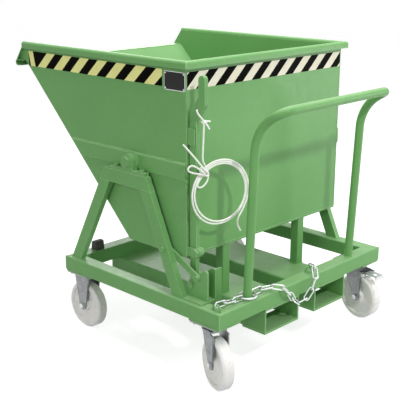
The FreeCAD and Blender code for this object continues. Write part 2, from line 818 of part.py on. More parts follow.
def make_catch():
    """Catch on the left tube: a base and two plates with sloping tops either side of the hook."""
    half_gap = catch_gap / 2
    base_top = frame_top + catch_base
    x0 = leg_x(frame_top, 1) + catch_front_gap
    x1 = x0 + catch_length
    plate_top = base_top + catch_plate_height
    inner_y = lever_middle_y + half_gap
    catch = box(x0, x1, -stand_outer_y, inner_y + catch_plate, frame_top, base_top)
    catch = catch.fuse(box(x1 - catch_plate, x1, inner_y, inner_y + catch_flange,
                           frame_top, plate_top - catch_round_radius))
    for y0 in (catch_outer_y, inner_y):
        outline = [V(x0, y0, base_top), V(x1, y0, base_top), V(x1, y0, plate_top),
                   V(x0, y0, plate_top - catch_top_drop)]
        radii = [0, 0, catch_round_radius, catch_round_radius]
        plate = rounded_face(outline, radii).extrude(V(0, catch_plate, 0))
        catch = catch.fuse(plate)
    bore = rod(V(catch_pin_x, lever_middle_y - catch_gap, hook_height),
               V(catch_pin_x, lever_middle_y + catch_gap, hook_height),
               catch_pin_radius + running_clearance)
    return catch.cut(bore).removeSplitter()


def make_catch_pin():
    """Cross pin of the catch, a headed bolt with its nut."""
    reach = catch_gap / 2 + catch_plate + loose_clearance

    def at(y):
        return V(catch_pin_x, lever_middle_y + y, hook_height)

    pin = rod(at(-reach), at(reach), catch_pin_radius)
    head = hexagon(at(-reach), at(-reach - brace_bolt_height), 3 * catch_pin_radius)
    nut = hexagon(at(reach), at(reach + brace_bolt_height), 3 * catch_pin_radius)
    return pin.fuse(head).fuse(nut).removeSplitter()


def brace_ends():
    """Bolt places of the brace: on the rear leg of the left stand and on the catch."""
    lean = (leg_x(stand_head_top, 1) - leg_x(frame_top, 1)) / (stand_head_top - frame_top)
    half_leg = stand_leg_width / 2 * math.hypot(1, lean)
    leg = V(leg_x(brace_leg_height, 1) - half_leg, 0, brace_leg_height)
    catch_top = frame_top + catch_base + catch_plate_height - catch_top_drop / 2
    catch = V(leg_x(frame_top, 1) + catch_front_gap + catch_length / 2, 0,
              catch_top - brace_width / 2)
    return leg, catch


def make_brace():
    """Flat bar with round ends, between the stand's rear leg and the outer plate of the catch."""
    leg, catch = brace_ends()
    along = (catch - leg).normalize()
    across = V(-along.z, 0, along.x)
    half = brace_width / 2
    points = [leg - along * half - across * half, catch + along * half - across * half,
              catch + along * half + across * half, leg - along * half + across * half]
    face = rounded_face([V(p.x, catch_outer_y, p.z) for p in points], [half] * len(points))
    return face.extrude(V(0, -brace_thickness, 0))


def make_brace_bolts():
    """Bolt heads that hold the brace, outside the leg and outside the brace at the catch."""
    leg, catch = brace_ends()
    heads = []
    for place, y in ((leg, -stand_outer_y), (catch, catch_outer_y - brace_thickness)):
        start = V(place.x, y, place.z)
        heads.append(hexagon(start, start - V(0, brace_bolt_height, 0), brace_bolt_across))
    return heads


def wheel_profile():
    """Half section of a wheel as (radius, along the axle) points, outside of one half."""
    half = wheel_width / 2
    rim_inner = wheel_radius - wheel_rim_depth
    web = half - wheel_recess
    hub = wheel_hub_length / 2
    bore = axle_sleeve_radius + running_clearance
    return [(bore, hub), (wheel_hub_radius, hub), (wheel_hub_radius + wheel_recess / 2, web),
            (rim_inner - wheel_recess / 2, web), (rim_inner, half),
            (wheel_radius - wheel_edge_radius, half), (wheel_radius, half - wheel_edge_radius)]


def make_wheel():
    """Cast wheel about the Y axis: broad rim, dished web and hub."""
    side = wheel_profile()
    points = [V(r, y, 0) for r, y in side] + [V(r, -y, 0) for r, y in reversed(side)]
    return polygon(points).revolve(V(0, 0, 0), V(0, 1, 0), 360)


def fork_inner():
    return wheel_hub_length / 2 + fork_side_gap


def make_fork_leg(side, top_z, top_x):
    """One side plate of a caster fork, from the crown down to a round end at the axle."""
    inner = fork_inner()
    half = fork_top_width / 2
    edges = sorted((side * inner, side * (inner + fork_plate)))
    r = fork_axle_radius
    outline = [V(-r, edges[0], wheel_radius), V(-r, edges[0], wheel_radius - r),
               V(r, edges[0], wheel_radius - r), V(r, edges[0], wheel_radius),
               V(top_x + half, edges[0], top_z), V(top_x - half, edges[0], top_z)]
    radii = [0, r, r, 0, 0, 0]
    leg = rounded_face(outline, radii).extrude(V(0, fork_plate, 0))
    hole = rod(V(0, edges[0] - overrun, wheel_radius), V(0, edges[1] + overrun, wheel_radius),
               axle_bolt_radius + loose_clearance)
    return leg.cut(hole)


def make_axle():
    """Axle bolt with its sleeve, head and nut, along Y through the wheel's middle."""
    inner = fork_inner()
    outer = inner + fork_plate

    def at(y):
        return V(0, y, wheel_radius)

    sleeve = rod(at(-inner), at(inner), axle_sleeve_radius)
    bolt = rod(at(-outer), at(outer), axle_bolt_radius)
    head = hexagon(at(-outer), at(-outer - axle_nut_height), axle_nut_across)
    nut = hexagon(at(outer), at(outer + axle_nut_height), axle_nut_across)
    return sleeve.fuse(bolt).fuse(head).fuse(nut).removeSplitter()


def caster_top():
    return frame_underside - corner_plate


def plate_outline(z0, z1):
    half_x = caster_plate_length / 2
    half_y = caster_plate_width / 2
    return box(-half_x, half_x, -half_y, half_y, z0, z1)


def make_fixed_fork():
    """Fork of a fixed caster: top plate with two side plates."""
    top = caster_top()
    fork = plate_outline(top - caster_plate, top)
    for side in (-1, 1):
        fork = fork.fuse(make_fork_leg(side, top - caster_plate, 0))
    return fork.removeSplitter()


def make_swivel_plate():
    """Top plate of a swivel caster with its race ring and kingpin."""
    top = caster_top()
    under = top - caster_plate
    race_bottom = under - swivel_race_height
    crown_bottom = race_bottom - loose_clearance - fork_crown
    head_top = crown_bottom - loose_clearance
    plate = plate_outline(under, top)
    race = Part.makeCone(swivel_race_radius - loose_clearance * 2, swivel_race_radius,
                         swivel_race_height, V(0, 0, race_bottom))
    pin = rod(V(0, 0, head_top), V(0, 0, race_bottom), kingpin_radius)
    head = rod(V(0, 0, head_top - kingpin_head), V(0, 0, head_top), kingpin_head_radius)
    return plate.fuse(race).fuse(pin).fuse(head).removeSplitter()


def swivel_crown_top():
    return caster_top() - caster_plate - swivel_race_height - loose_clearance


def make_swivel_fork(braked):
    """Fork of a swivel caster about its kingpin, trailing along +X."""
    top = swivel_crown_top()
    bottom = top - fork_crown
    outer = fork_inner() + fork_plate
    reach = swivel_race_radius + fork_crown
    crown = rod(V(0, 0, bottom), V(0, 0, top), reach)
    bridge = box(-reach / 2, swivel_trail, -outer, outer, bottom, top)
    fork = crown.fuse(bridge)
    for side in (-1, 1):
        leg = make_fork_leg(side, bottom, -swivel_trail / 2)
        leg.translate(V(swivel_trail, 0, 0))
        fork = fork.fuse(leg)
        if braked:
            fork = fork.fuse(make_brake_ear(side, bottom))
    bore = rod(V(0, 0, bottom - overrun), V(0, 0, top + overrun),
               kingpin_radius + running_clearance)
    return fork.cut(bore).removeSplitter()


def brake_pin_z():
    return swivel_crown_top() - brake_pin_drop


def make_brake_ear(side, bottom):
    """Rearward ear of a fork side plate, which holds the brake pedal's pin."""
    edges = sorted((side * fork_inner(), side * (fork_inner() + fork_plate)))
    z = brake_pin_z()
    r = brake_barrel_radius
    root_x = swivel_trail / 2 + fork_top_width / 2 - fork_plate
    outline = [V(root_x - r, edges[0], bottom), V(root_x, edges[0], bottom),
               V(brake_pin_x + r, edges[0], z + r), V(brake_pin_x + r, edges[0], z - r),
               V(brake_pin_x - r, edges[0], z - r),
               V(root_x - fork_axle_radius - r, edges[0], z - r)]
    soft = r
    face = rounded_face(outline, [0, 0, soft / 2, soft, 0, 0])
    ear = face.extrude(V(0, fork_plate, 0))
    hole = rod(V(brake_pin_x, edges[0] - overrun, z), V(brake_pin_x, edges[1] + overrun, z),
               brake_pin_radius + loose_clearance)
    return ear.cut(hole)


def make_brake_pin():
    """Headed pin across the fork, on which the brake pedal turns."""
    outer = fork_inner() + fork_plate
    z = brake_pin_z()
    pin = rod(V(brake_pin_x, -outer, z), V(brake_pin_x, outer, z), brake_pin_radius)
    cap = brake_pin_radius * 2
    for side in (-1, 1):
        start = V(brake_pin_x, side * outer, z)
        pin = pin.fuse(rod(start, start + V(0, side * fork_plate, 0), cap))
    return pin.removeSplitter()


def make_pedal():
    """Brake pedal: a barrel on the pin and a tread plate with a slot and a turned-down lip."""
    z = brake_pin_z()
    half_barrel = brake_barrel_length / 2
    half_width = brake_pedal_width / 2
    barrel = rod(V(brake_pin_x, -half_barrel, z), V(brake_pin_x, half_barrel, z),
                 brake_barrel_radius)
    plate_x = brake_pin_x
    end_x = plate_x + brake_pedal_length
    plate_z = z + brake_barrel_radius - brake_pedal_plate
    narrow = half_barrel
    outline = [(plate_x, -narrow), (plate_x + brake_barrel_radius * 2, -narrow),
               (plate_x + brake_barrel_radius * 3, -half_width), (end_x, -half_width),
               (end_x, half_width), (plate_x + brake_barrel_radius * 3, half_width),
               (plate_x + brake_barrel_radius * 2, narrow), (plate_x, narrow)]
    plate = prism_z(outline, plate_z, plate_z + brake_pedal_plate)
    lip = box(end_x - brake_pedal_plate, end_x, -half_width, half_width,
              plate_z - brake_pedal_lip, plate_z)
    slot_half = brake_pedal_width * brake_slot_share / 2
    slot_x = plate_x + brake_barrel_radius * 4
    slot = box(slot_x, end_x - brake_barrel_radius * 2, -slot_half, slot_half,
               plate_z - overrun, plate_z + overrun * 2)
    bore = rod(V(brake_pin_x, -half_barrel - overrun, z), V(brake_pin_x, half_barrel + overrun, z),
               brake_pin_radius + running_clearance)
    return barrel.fuse(plate).fuse(lip).cut(slot).cut(bore).removeSplitter()


def caster_places():
    """Middle of each caster plate as (name, x, y, swivel angle or None)."""
    half = caster_track / 2
    return [("front_left", front_caster_x, -half, None), ("front_right", front_caster_x, half, None),
            ("rear_left", rear_caster_x, -half, left_swivel_degrees),
            ("rear_right", rear_caster_x, half, right_swivel_degrees)]


def placed(shape, x, y, degrees):
    """A caster piece turned about its kingpin and moved under its corner."""
    turned = shape.copy()
    if degrees is not None:
        turned.rotate(V(0, 0, 0), V(0, 0, 1), degrees)
    turned.translate(V(x, y, 0))
    return turned


def make_casters():
    pieces = {}
    axles = []
    wheel = make_wheel()
    wheel.translate(V(0, 0, wheel_radius))
    for name, x, y, degrees in caster_places():
        if degrees is None:
            pieces[name + "_fork"] = placed(make_fixed_fork(), x, y, None)
            pieces[name + "_wheel"] = placed(wheel, x, y, None)
            axles.append(placed(make_axle(), x, y, None))
            continue
        trail = V(swivel_trail, 0, 0)
        braked = name in braked_casters
        pins = [make_axle().translated(trail)] + ([make_brake_pin()] if braked else [])
        pieces[name + "_swivel_plate"] = placed(make_swivel_plate(), x, y, None)
        pieces[name + "_fork"] = placed(make_swivel_fork(braked), x, y, degrees)
        pieces[name + "_pins"] = placed(Part.Compound(pins), x, y, degrees)
        pieces[name + "_wheel"] = placed(wheel.translated(trail), x, y, degrees)
        if braked:
            pieces[name + "_brake_pedal"] = placed(make_pedal(), x, y, degrees)
    pieces["front_axles"] = Part.Compound(axles)
    return pieces


def make_corner_plates():
    """Plates welded under the frame's corners, to which the casters are bolted."""
    z0 = caster_top()
    plates = []
    margin = corner_plate_margin
    for name, x, y, degrees in caster_places():
        side = 1 if y > 0 else -1
        end = 1 if x > 0 else -1
        inner_x = x - end * (caster_plate_length / 2 + margin)
        inner_y = y - side * (caster_plate_width / 2 + margin)
        xs = sorted((inner_x, end * (half_length - margin)))
        ys = sorted((inner_y, side * (half_width - margin)))
        plates.append(box(xs[0], xs[1], ys[0], ys[1], z0, frame_underside))
    return Part.Compound(plates)


def make_caster_bolts():
    """Bolt heads under the four corners of each caster plate."""
    z = caster_top() - caster_plate
    heads = []
    for name, x, y, degrees in caster_places():
        for i in (-1, 1):
            for j in (-1, 1):
                start = V(x + i * caster_bolt_length / 2, y + j * caster_bolt_width / 2, z)
                end = start - V(0, 0, caster_bolt_height)
                heads.append(hexagon(start, end, caster_bolt_across))
    return heads


def stadium_ring(centre, along, across, inner_length, inner_width, wire_radius):
    """Closed link: a round wire bent to two straight runs and two half turns."""
    bend = inner_width / 2 + wire_radius
    half = inner_length / 2 + wire_radius - bend
    a = along * half
    b = across * bend
    tip = along * (half + bend)
    edges = [Part.LineSegment(centre - a + b, centre + a + b).toShape(),
             Part.Arc(centre + a + b, centre + tip, centre + a - b).toShape(),
             Part.LineSegment(centre + a - b, centre - a - b).toShape(),
             Part.Arc(centre - a - b, centre - tip, centre - a + b).toShape()]
    return sweep(Part.Wire(edges), centre - a + b, along, wire_radius)


def meeting_places(points, even):
    """Places where links meet along a smooth line from the first link's end to the last one's."""
    curve = Part.BSplineCurve()
    curve.interpolate(points)
    line = curve.toShape()
    count = 2 if even else 1
    while line.Length - link_inner_length > (count - 1) * link_inner_length * link_spacing_share:
        count += 2
    step = (line.Length - link_inner_length) / (count - 1)
    slack = (link_inner_length - step) / 2
    print("chain links", count, "step", round(step, 1))
    return [line.valueAt(line.getParameterByLength(slack + step * i)) for i in range(count + 1)]


def links_between(places, first_across):
    """Links from place to place, each a quarter turn to the next, the last one upright."""
    frames = []
    across = V(0, 0, 1)
    for start, end in reversed(list(zip(places, places[1:]))):
        along = (end - start).normalize()
        across = (across - along * across.dot(along)).normalize()
        frames.append(((start + end) / 2, along, across))
        across = along.cross(across)
    middle, along, across = frames[-1]
    wanted = (first_across - along * first_across.dot(along)).normalize()
    twist = math.atan2(across.cross(wanted).dot(along), across.dot(wanted))
    twist = math.atan(math.tan(twist))
    links = []
    for i, (middle, along, across) in enumerate(frames):
        turn = FreeCAD.Rotation(along, math.degrees(twist) * i / (len(frames) - 1))
        links.append(stadium_ring(middle, along, turn.multVec(across), link_inner_length,
                                  link_inner_width, chain_wire_radius))
    return links


def chain_seat():
    """From the middle of an anchor's rod to the inner end of the link that hangs on it."""
    return anchor_radius + loose_clearance


def anchor_crown():
    """Height of an anchor's round top above the floor, at the middle of its rod."""
    return frame_top + anchor_neck + anchor_inner_radius + anchor_radius


def ring_height():
    """Middle of the ring that lies on the hook's wire round the handle's left foot."""
    return frame_top + 2 * hook_wire_radius + 2 * loose_clearance + anchor_radius


def snap_hook_middle():
    """Middle of the hook that joins the ring to the hanging run."""
    y = -handle_span / 2 + chain_ring_radius + (snap_inner_length - snap_inner_width) / 2
    z = frame_top + loose_clearance + snap_inner_width / 2 + 2 * hook_wire_radius
    return V(handle_foot_x, y, z)


def make_snap_hook():
    """Oval hook, a size larger than the links."""
    return stadium_ring(snap_hook_middle(), V(0, 1, 0), V(0, 0, 1), snap_inner_length,
                        snap_inner_width, hook_wire_radius)


def short_run():
    """Meeting places of the run from the left anchor to the ring."""
    ring_left = -handle_span / 2 - chain_ring_radius
    start = V(handle_foot_x, left_anchor_y - chain_seat(), anchor_crown())
    end = V(handle_foot_x, ring_left + chain_seat(), ring_height() + loose_clearance)
    return meeting_places([start, (start + end) / 2, end], False)


def long_run():
    """Meeting places of the run from the hook, over the tube's edge, to the right anchor."""
    x = handle_foot_x
    hook = snap_hook_middle()
    start = V(x, hook.y + snap_inner_length / 2 - sheet_gap, hook.z)
    finish = V(x, right_anchor_y, anchor_crown())
    rest = frame_top + chain_stand_off
    out_x = half_length + chain_stand_off
    route = []
    for across, out, drop in chain_route_shares:
        route.append(V(x + (out_x - x) * out, start.y + (finish.y - start.y) * across,
                       rest - (rest - frame_top + chain_drop) * drop))
    route[0] = start
    toward = V(finish.x - route[-2].x, finish.y - route[-2].y, 0).normalize()
    route[-1] = finish + toward * chain_seat()
    return meeting_places(route, True)


def make_chain():
    """The chain's two runs: left anchor to the ring, and hook to the right anchor."""
    return links_between(short_run(), V(0, 0, 1)) + links_between(long_run(), V(1, 0, 0))


def make_chain_anchors():
    """Round-bar loops welded on the frame, each square to the link that hangs on it."""
    loops = []
    bend = anchor_inner_radius + anchor_radius
    last = long_run()[-2:]
    toward = V(last[1].x - last[0].x, last[1].y - last[0].y, 0).normalize()
    for y, span in ((left_anchor_y, V(1, 0, 0)), (right_anchor_y, V(toward.y, -toward.x, 0))):
        foot = V(handle_foot_x, y, frame_top)
        spring = foot + V(0, 0, anchor_neck)
        side = span * bend
        edges = [Part.LineSegment(foot - side, spring - side).toShape(),
                 Part.Arc(spring - side, spring + V(0, 0, bend), spring + side).toShape(),
                 Part.LineSegment(spring + side, foot + side).toShape()]
        loops.append(sweep(Part.Wire(edges), foot - side, V(0, 0, 1), anchor_radius))
    return Part.Compound(loops)


def make_chain_ring():
    """Ring that lies round the left foot of the handle."""
    centre = V(handle_foot_x, -handle_span / 2, ring_height())
    return Part.makeTorus(chain_ring_radius, anchor_radius, centre, V(0, 0, 1))


def coil_axes():
    """Directions across and up in the hung coil's tilted plane."""
    tilt = math.radians(coil_tilt_degrees)
    return V(-math.sin(tilt), math.cos(tilt), 0), V(0, 0, 1)


def coil_path():
    """Half turns of the hung coil, each a little wider than the last, with straight ends."""
    across, up = coil_axes()
    edges = []
    radius = coil_inner_radius
    centre = V(coil_centre)
    start = centre + up * radius
    stub = across * (2 * rope_radius)
    edges.append(Part.LineSegment(start - stub, start).toShape())
    for i in range(2 * coil_turns):
        side = 1 if i % 2 == 0 else -1
        start = centre + up * (radius * side)
        middle = centre + across * (radius * side)
        end = centre - up * (radius * side)
        edges.append(Part.Arc(start, middle, end).toShape())
        centre = centre + up * (coil_pitch / 2 * side)
        radius = radius + coil_pitch / 2
    edges.append(Part.LineSegment(end, end + stub).toShape())
    return Part.Wire(edges)


def make_rope_coil():
    path = coil_path()
    edges = path.OrderedEdges
    start = edges[0].valueAt(edges[0].FirstParameter)
    direction = edges[0].tangentAt(edges[0].FirstParameter)
    coil = sweep(path, start, direction, rope_radius)
    turns = [edge.discretize(60) for edge in edges]
    least = min((p - q).Length for i, a in enumerate(turns) for b in turns[i + 2:]
                for p in a for q in b)
    print("coil gap", round(least - 2 * rope_radius, 2))
    return coil.fuse(make_coil_end()).removeSplitter()


def make_coil_end():
    """Short free end of the rope that hangs from the outermost turn."""
    across, up = coil_axes()
    turn = math.radians(coil_end_degrees)
    lean = math.radians(coil_end_lean_degrees)
    outer = coil_inner_radius + (coil_turns - 1) * coil_pitch
    start = coil_centre + across * (outer * math.cos(turn)) + up * (outer * math.sin(turn))
    end = start + (across * math.sin(lean) - up * math.cos(lean)) * coil_end_length
    return rod(start, end, rope_radius)


def tie_place():
    """Middle of the coil's band where it is tied, with the outward and sideways directions."""
    across, up = coil_axes()
    turn = math.radians(tie_turn_degrees)
    outward = up * math.cos(turn) - across * math.sin(turn)
    band = coil_inner_radius + coil_turns * coil_pitch / 2
    return coil_centre + outward * band, outward, across.cross(up)


def make_rope_tie():
    """Wraps round the coil's band that hold it together."""
    centre, outward, sideways = tie_place()
    along = outward.cross(sideways)
    inner_length = coil_turns * coil_pitch + 2 * rope_radius
    step = 2 * rope_radius + tie_gap
    wraps = []
    for i in range(tie_wraps):
        place = centre + along * (step * (i - (tie_wraps - 1) / 2))
        wraps.append(stadium_ring(place, outward, sideways, inner_length,
                                  2 * (rope_radius + tie_gap), rope_radius))
    return wraps


def on_coil(start, steps):
    """Places that lie the given steps across, up and out from a start, in the coil's directions."""
    across, up = coil_axes()
    out = across.cross(up)
    return [start + across * step.x + up * step.y + out * step.z for step in steps]


def make_tie_ends():
    """The tie's standing tail and its small loop, in front of the wraps."""
    centre = tie_place()[0]
    return [make_cord(on_coil(centre, route)) for route in (tail_route, loop_route)]


def lead_route():
    """Rope from the stopper knot through the lever's hole, round its edge, down and into the bow."""
    hole = rope_hole()
    right = lever_middle_y + lever_thickness / 2 + rope_knot_height
    left = lever_middle_y - lever_thickness / 2 - lead_overhang
    start = [V(hole.x, right, hole.z), V(hole.x, left, hole.z),
             V(hole.x + lead_round_reach, left, hole.z - lead_round_drop)]
    return start + on_coil(coil_centre, bow_route)


def cord_radii(route):
    """Bend radius at each inner point of a cord's route, as its runs allow."""
    radii = [0]
    for before, point, after in zip(route, route[1:], route[2:]):
        shorter = min((before - point).Length, (after - point).Length)
        half = (math.pi - (before - point).getAngle(after - point)) / 2
        radii.append(cord_run_share * shorter / math.tan(half))
    print("cord bend radii", [round(r, 1) for r in radii[1:]])
    return radii + [0]


def make_cord(route):
    path = Part.Wire(rounded_edges(route, cord_radii(route)))
    return sweep(path, route[0], route[1] - route[0], rope_radius)


def make_rope_lead():
    """The lead with its stopper knot on the lever's far side."""
    route = lead_route()
    start = route[0]
    knot_end = start - V(0, rope_knot_height - loose_clearance, 0)
    knot = rod(start, knot_end, rope_knot_radius)
    knot = knot.makeFillet(rope_knot_radius / 2, knot.Edges)
    return make_cord(route).fuse(knot).removeSplitter()


def save(name, shape):
    moved = shape.copy()
    moved.translate(origin_shift)
    moved.exportStep("parts/" + name + ".step")


def main():
    os.makedirs("parts", exist_ok=True)
    left_wall = make_side_wall()
    left_band = make_side_band()
    left_trunnion = make_trunnion()
    left_bearing = make_bearing()
    left_head = make_stand_head()
    right_pocket = make_pocket()
    pieces = {
        "fork_pocket_left": mirrored(right_pocket),
        "fork_pocket_right": right_pocket,
        "pocket_straps": make_pocket_straps(),
        "skip_left_wall": left_wall,
        "skip_right_wall": mirrored(left_wall),
        "pouring_lip": make_pouring_lip(),
        "side_band_left": left_band,
        "side_band_right": mirrored(left_band),
        "trunnion_left": left_trunnion,
        "trunnion_right": mirrored(left_trunnion),
        "bearing_left": left_bearing,
        "bearing_right": mirrored(left_bearing),
        "stand_head_left": left_head,
        "stand_head_right": mirrored(left_head),
        "rest_posts": make_rest_posts(),
        "tip_buffers": make_buffers(),
        "push_handle": make_handle(),
        "release_lever": make_lever(),
        "lever_brackets": Part.Compound(make_lever_ears() + [make_lever_guide()]),
        "lever_pin": make_lever_pin(),
        "catch_bracket": make_catch(),
        "catch_pin": make_catch_pin(),
        "catch_brace": make_brace(),
        "corner_plates": make_corner_plates(),
        "frame_bolts": Part.Compound(make_bearing_bolts() + make_brace_bolts()
                                     + make_caster_bolts()),
        "safety_chain": Part.Compound(make_chain() + [make_chain_ring()]),
        "snap_hook": make_snap_hook(),
        "chain_anchors": make_chain_anchors(),
        "rope_coil": make_rope_coil(),
        "rope_lead": make_rope_lead(),
        "rope_tie": Part.Compound(make_rope_tie() + make_tie_ends()),
    }
    for side, name in ((-1, "front"), (1, "rear")):
        leg = make_stand_leg(side)
        pieces["stand_" + name + "_leg_left"] = leg
        pieces["stand_" + name + "_leg_right"] = mirrored(leg)
    pieces.update(make_frame())
    pieces.update(make_skip_sheets())
    pieces.update(make_rim())
    pieces.update(make_casters())
    for name, shape in pieces.items():
        save(name, shape)


main()
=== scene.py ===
import json
import math

import bmesh
import bpy
from bpy.props import FloatProperty, FloatVectorProperty, PointerProperty
from mathutils import Matrix, Vector


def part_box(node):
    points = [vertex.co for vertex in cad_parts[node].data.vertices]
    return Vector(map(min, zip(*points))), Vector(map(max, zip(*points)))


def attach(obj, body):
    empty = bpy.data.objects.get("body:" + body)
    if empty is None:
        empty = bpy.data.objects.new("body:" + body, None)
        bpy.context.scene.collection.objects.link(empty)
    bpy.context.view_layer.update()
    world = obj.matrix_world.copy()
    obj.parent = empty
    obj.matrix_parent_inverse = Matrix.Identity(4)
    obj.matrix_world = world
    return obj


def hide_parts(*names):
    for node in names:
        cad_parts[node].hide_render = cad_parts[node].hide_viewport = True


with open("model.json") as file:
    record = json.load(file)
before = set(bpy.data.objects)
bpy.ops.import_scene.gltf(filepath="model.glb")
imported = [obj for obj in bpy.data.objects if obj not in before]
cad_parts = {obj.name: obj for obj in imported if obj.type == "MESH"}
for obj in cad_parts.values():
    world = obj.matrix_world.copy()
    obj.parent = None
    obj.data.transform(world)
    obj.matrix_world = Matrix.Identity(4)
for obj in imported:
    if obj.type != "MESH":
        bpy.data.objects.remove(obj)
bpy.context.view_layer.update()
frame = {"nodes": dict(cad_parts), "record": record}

bl_info = {
    "name": "Tipping skip trolley dressing",
    "version": (1, 0, 0),
    "blender": (4, 5, 0),
    "location": "View3D > Sidebar > Trolley",
    "description": "Finishes, rope, tape, welds and stage for the packed tipping skip trolley",
    "category": "Object",
}

MM = 0.001
# The drawing measures X from the middle of the wheeled frame; the packed model from its own middle
DRAWING_MIDDLE_X = (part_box("front_beam")[0].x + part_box("rear_beam")[1].x) / 2
BACKWARD, RIGHTWARD, UPWARD = Vector((1, 0, 0)), Vector((0, 1, 0)), Vector((0, 0, 1))
FORWARD, LEFTWARD = -BACKWARD, -RIGHTWARD

# Sizes of the packed part that the pieces are set against, in millimetres of the drawing: the push
# handle's tube and the distance between its feet, and the outer faces of the skip's walls
HANDLE_TUBE, HANDLE_SPAN = 33.7, 652.0
SIDE_FACE, REAR_FACE = 464.0, 235.0
# Small hardware given the bright zinc: brighter plating, and partly a painted highlight
BRIGHT_ZINC_AND_HIGHLIGHT_NODES = ("safety_chain", "snap_hook", "front_axles", "rear_left_pins", "rear_right_pins",
                "rear_right_brake_pedal")


def at(x, y, z):
    """A place in the drawing, in millimetres, as a point of the packed frame in metres."""
    return Vector((DRAWING_MIDDLE_X + x * MM, y * MM, z * MM))


def linear(code):
    """An sRGB hex code as the linear colour that Blender's sockets take."""
    shares = [int(code[i:i + 2], 16) / 255 for i in (1, 3, 5)]
    return tuple(c / 12.92 if c <= 0.04045 else ((c + 0.055) / 1.055) ** 2.4 for c in shares)


def size(name, description, millimetres):
    """A length that the user may change, shown in the scene's units."""
    return FloatProperty(name=name, description=description, default=millimetres * MM,
                         min=0.0, unit="LENGTH", subtype="DISTANCE", precision=4)


def colour(name, description, code):
    """A colour that the user may change, given as an sRGB hex code."""
    return FloatVectorProperty(name=name, description=description, default=linear(code),
                               size=3, min=0.0, max=1.0, subtype="COLOR")


def power(name, description, watts):
    """A lamp's power that the user may change."""
    return FloatProperty(name=name, description=description, default=watts, min=0.0, unit="POWER")


class TROLLEY_PG_finish(bpy.types.PropertyGroup):
    """Colours of the trolley's finishes"""
    enamel: colour("Enamel", "Green machine enamel on all welded steel", "#6FA862")
    # Enamel edge: a paler colour painted on edges as the highlight they catch
    enamel_edge_highlight: colour("Enamel edge", "Paler colour where the enamel is thin on edges", "#B9D6AF")
    # Dull and bright zinc are one plating in two tones: the dull one is darker partly as painted
    # shade on the casters' forks, the bright one paler partly as a painted highlight on hardware
    zinc: colour("Dull zinc", "Dulled zinc plating on the casters' pressings", "#8E9092")
    bright: colour("Bright zinc", "Bright zinc plating on the chain, axles and pedal", "#D3D6D6")
    polyamide: colour("Polyamide", "Cast polyamide of the wheels", "#F4F3EF")
    rubber: colour("Rubber", "Moulded rubber of the stops", "#454541")
    cord: colour("Cord", "Polypropylene of the pull rope", "#FAFCF4")
    tape_pale: colour("Rear tape", "Pale stripes of the rear hazard tape", "#F5F1DC")
    tape_yellow: colour("Side tape", "Yellow stripes of the side hazard tape", "#FFFFAA")
    tape_black: colour("Tape black", "Printed black stripes", "#0C0C09")
    plate: colour("Plate", "Black anodised field of the blank plate", "#181916")


class TROLLEY_PG_rope(bpy.types.PropertyGroup):
    """Sizes of the pull rope"""
    diameter: size("Diameter", "Diameter of the laid rope", 7.0)
    lay: size("Lay", "Length of one turn of the three strands", 30.0)
    knot: size("Knot", "Reach of the loops of a knot", 3.0)


class TROLLEY_PG_tape(bpy.types.PropertyGroup):
    """Sizes of the hazard tape"""
    height: size("Height", "Width of the tape's roll", 62.0)
    side_pitch: size("Side pitch", "Distance between black stripes on the sides", 111.0)
    rear_pitch: size("Rear pitch", "Distance between black stripes on the rear", 100.8)
    slant: size("Slant", "How far a stripe leans over the tape's height", 68.0)
    thickness: size("Thickness", "Film with its adhesive", 0.8)


class TROLLEY_PG_weld(bpy.types.PropertyGroup):
    """Sizes of the weld seams"""
    bead: size("Bead", "Radius of a fillet weld's bead", 3.2)
    ripple: size("Ripple", "Distance between the ripples of a bead", 7.0)
    stitch: size("Stitch", "Length of one stitch of an interrupted weld", 45.0)
    stitch_pitch: size("Stitch pitch", "Distance from one stitch to the next", 120.0)


class TROLLEY_PG_plate(bpy.types.PropertyGroup):
    """Sizes of the blank plate"""
    width: size("Width", "Length of the plate along the wall", 108.0)
    height: size("Height", "Height of the plate", 69.0)
    sheet: size("Sheet", "Thickness of the plate's sheet", 1.5)
    border: size("Border", "Bare border round the black field", 2.8)
    corner: size("Corner", "Radius of the plate's corners", 6.0)
    rivet: size("Rivet", "Radius of a rivet's head", 3.4)


class TROLLEY_PG_stage(bpy.types.PropertyGroup):
    """Light and lens"""
    lens: FloatProperty(name="Lens", description="Focal length on a 36 mm wide frame",
                        default=76.52, min=1.0, unit="CAMERA")
    key: power("Key light", "Power of the small key light behind the handle", 88.0)
    top: power("Top light", "Power of the wide overhead light", 112.0)
    fill: power("Fill light", "Power of the large fill light on the left", 62.0)
    side: power("Side light", "Power of the low light off the right rear corner", 58.0)
    back: power("Back light", "Power of the wide light on the pouring side", 70.0)
    sky: FloatProperty(name="Surround", description="Strength of the even white surround",
                       default=0.32, min=0.0)


# The Mix node's colour sockets go by number, because its names repeat for each kind of value
COLOUR_A, COLOUR_B, MIXED = 6, 7, 2


def add(tree, kind, inputs=None, **settings):
    """Adds one shader node with its settings. A socket among the inputs is linked, the rest set."""
    made = tree.nodes.new("ShaderNode" + kind)
    for name, value in settings.items():
        setattr(made, name, value)
    for name, value in (inputs or {}).items():
        if isinstance(value, bpy.types.NodeSocket):
            tree.links.new(value, made.inputs[name])
        else:
            made.inputs[name].default_value = value
    return made


def start_material(name, **sockets):
    """A new material, its nodes, its shader with the constant sockets set, and a place socket."""
    material = bpy.data.materials.new(name)
    material.use_nodes = True
    tree = material.node_tree
    shader = next(n for n in tree.nodes if n.type == "BSDF_PRINCIPLED")
    for socket, value in sockets.items():
        shader.inputs[socket.replace("_", " ")].default_value = value
    return material, tree, shader, add(tree, "TexCoord").outputs["Object"]


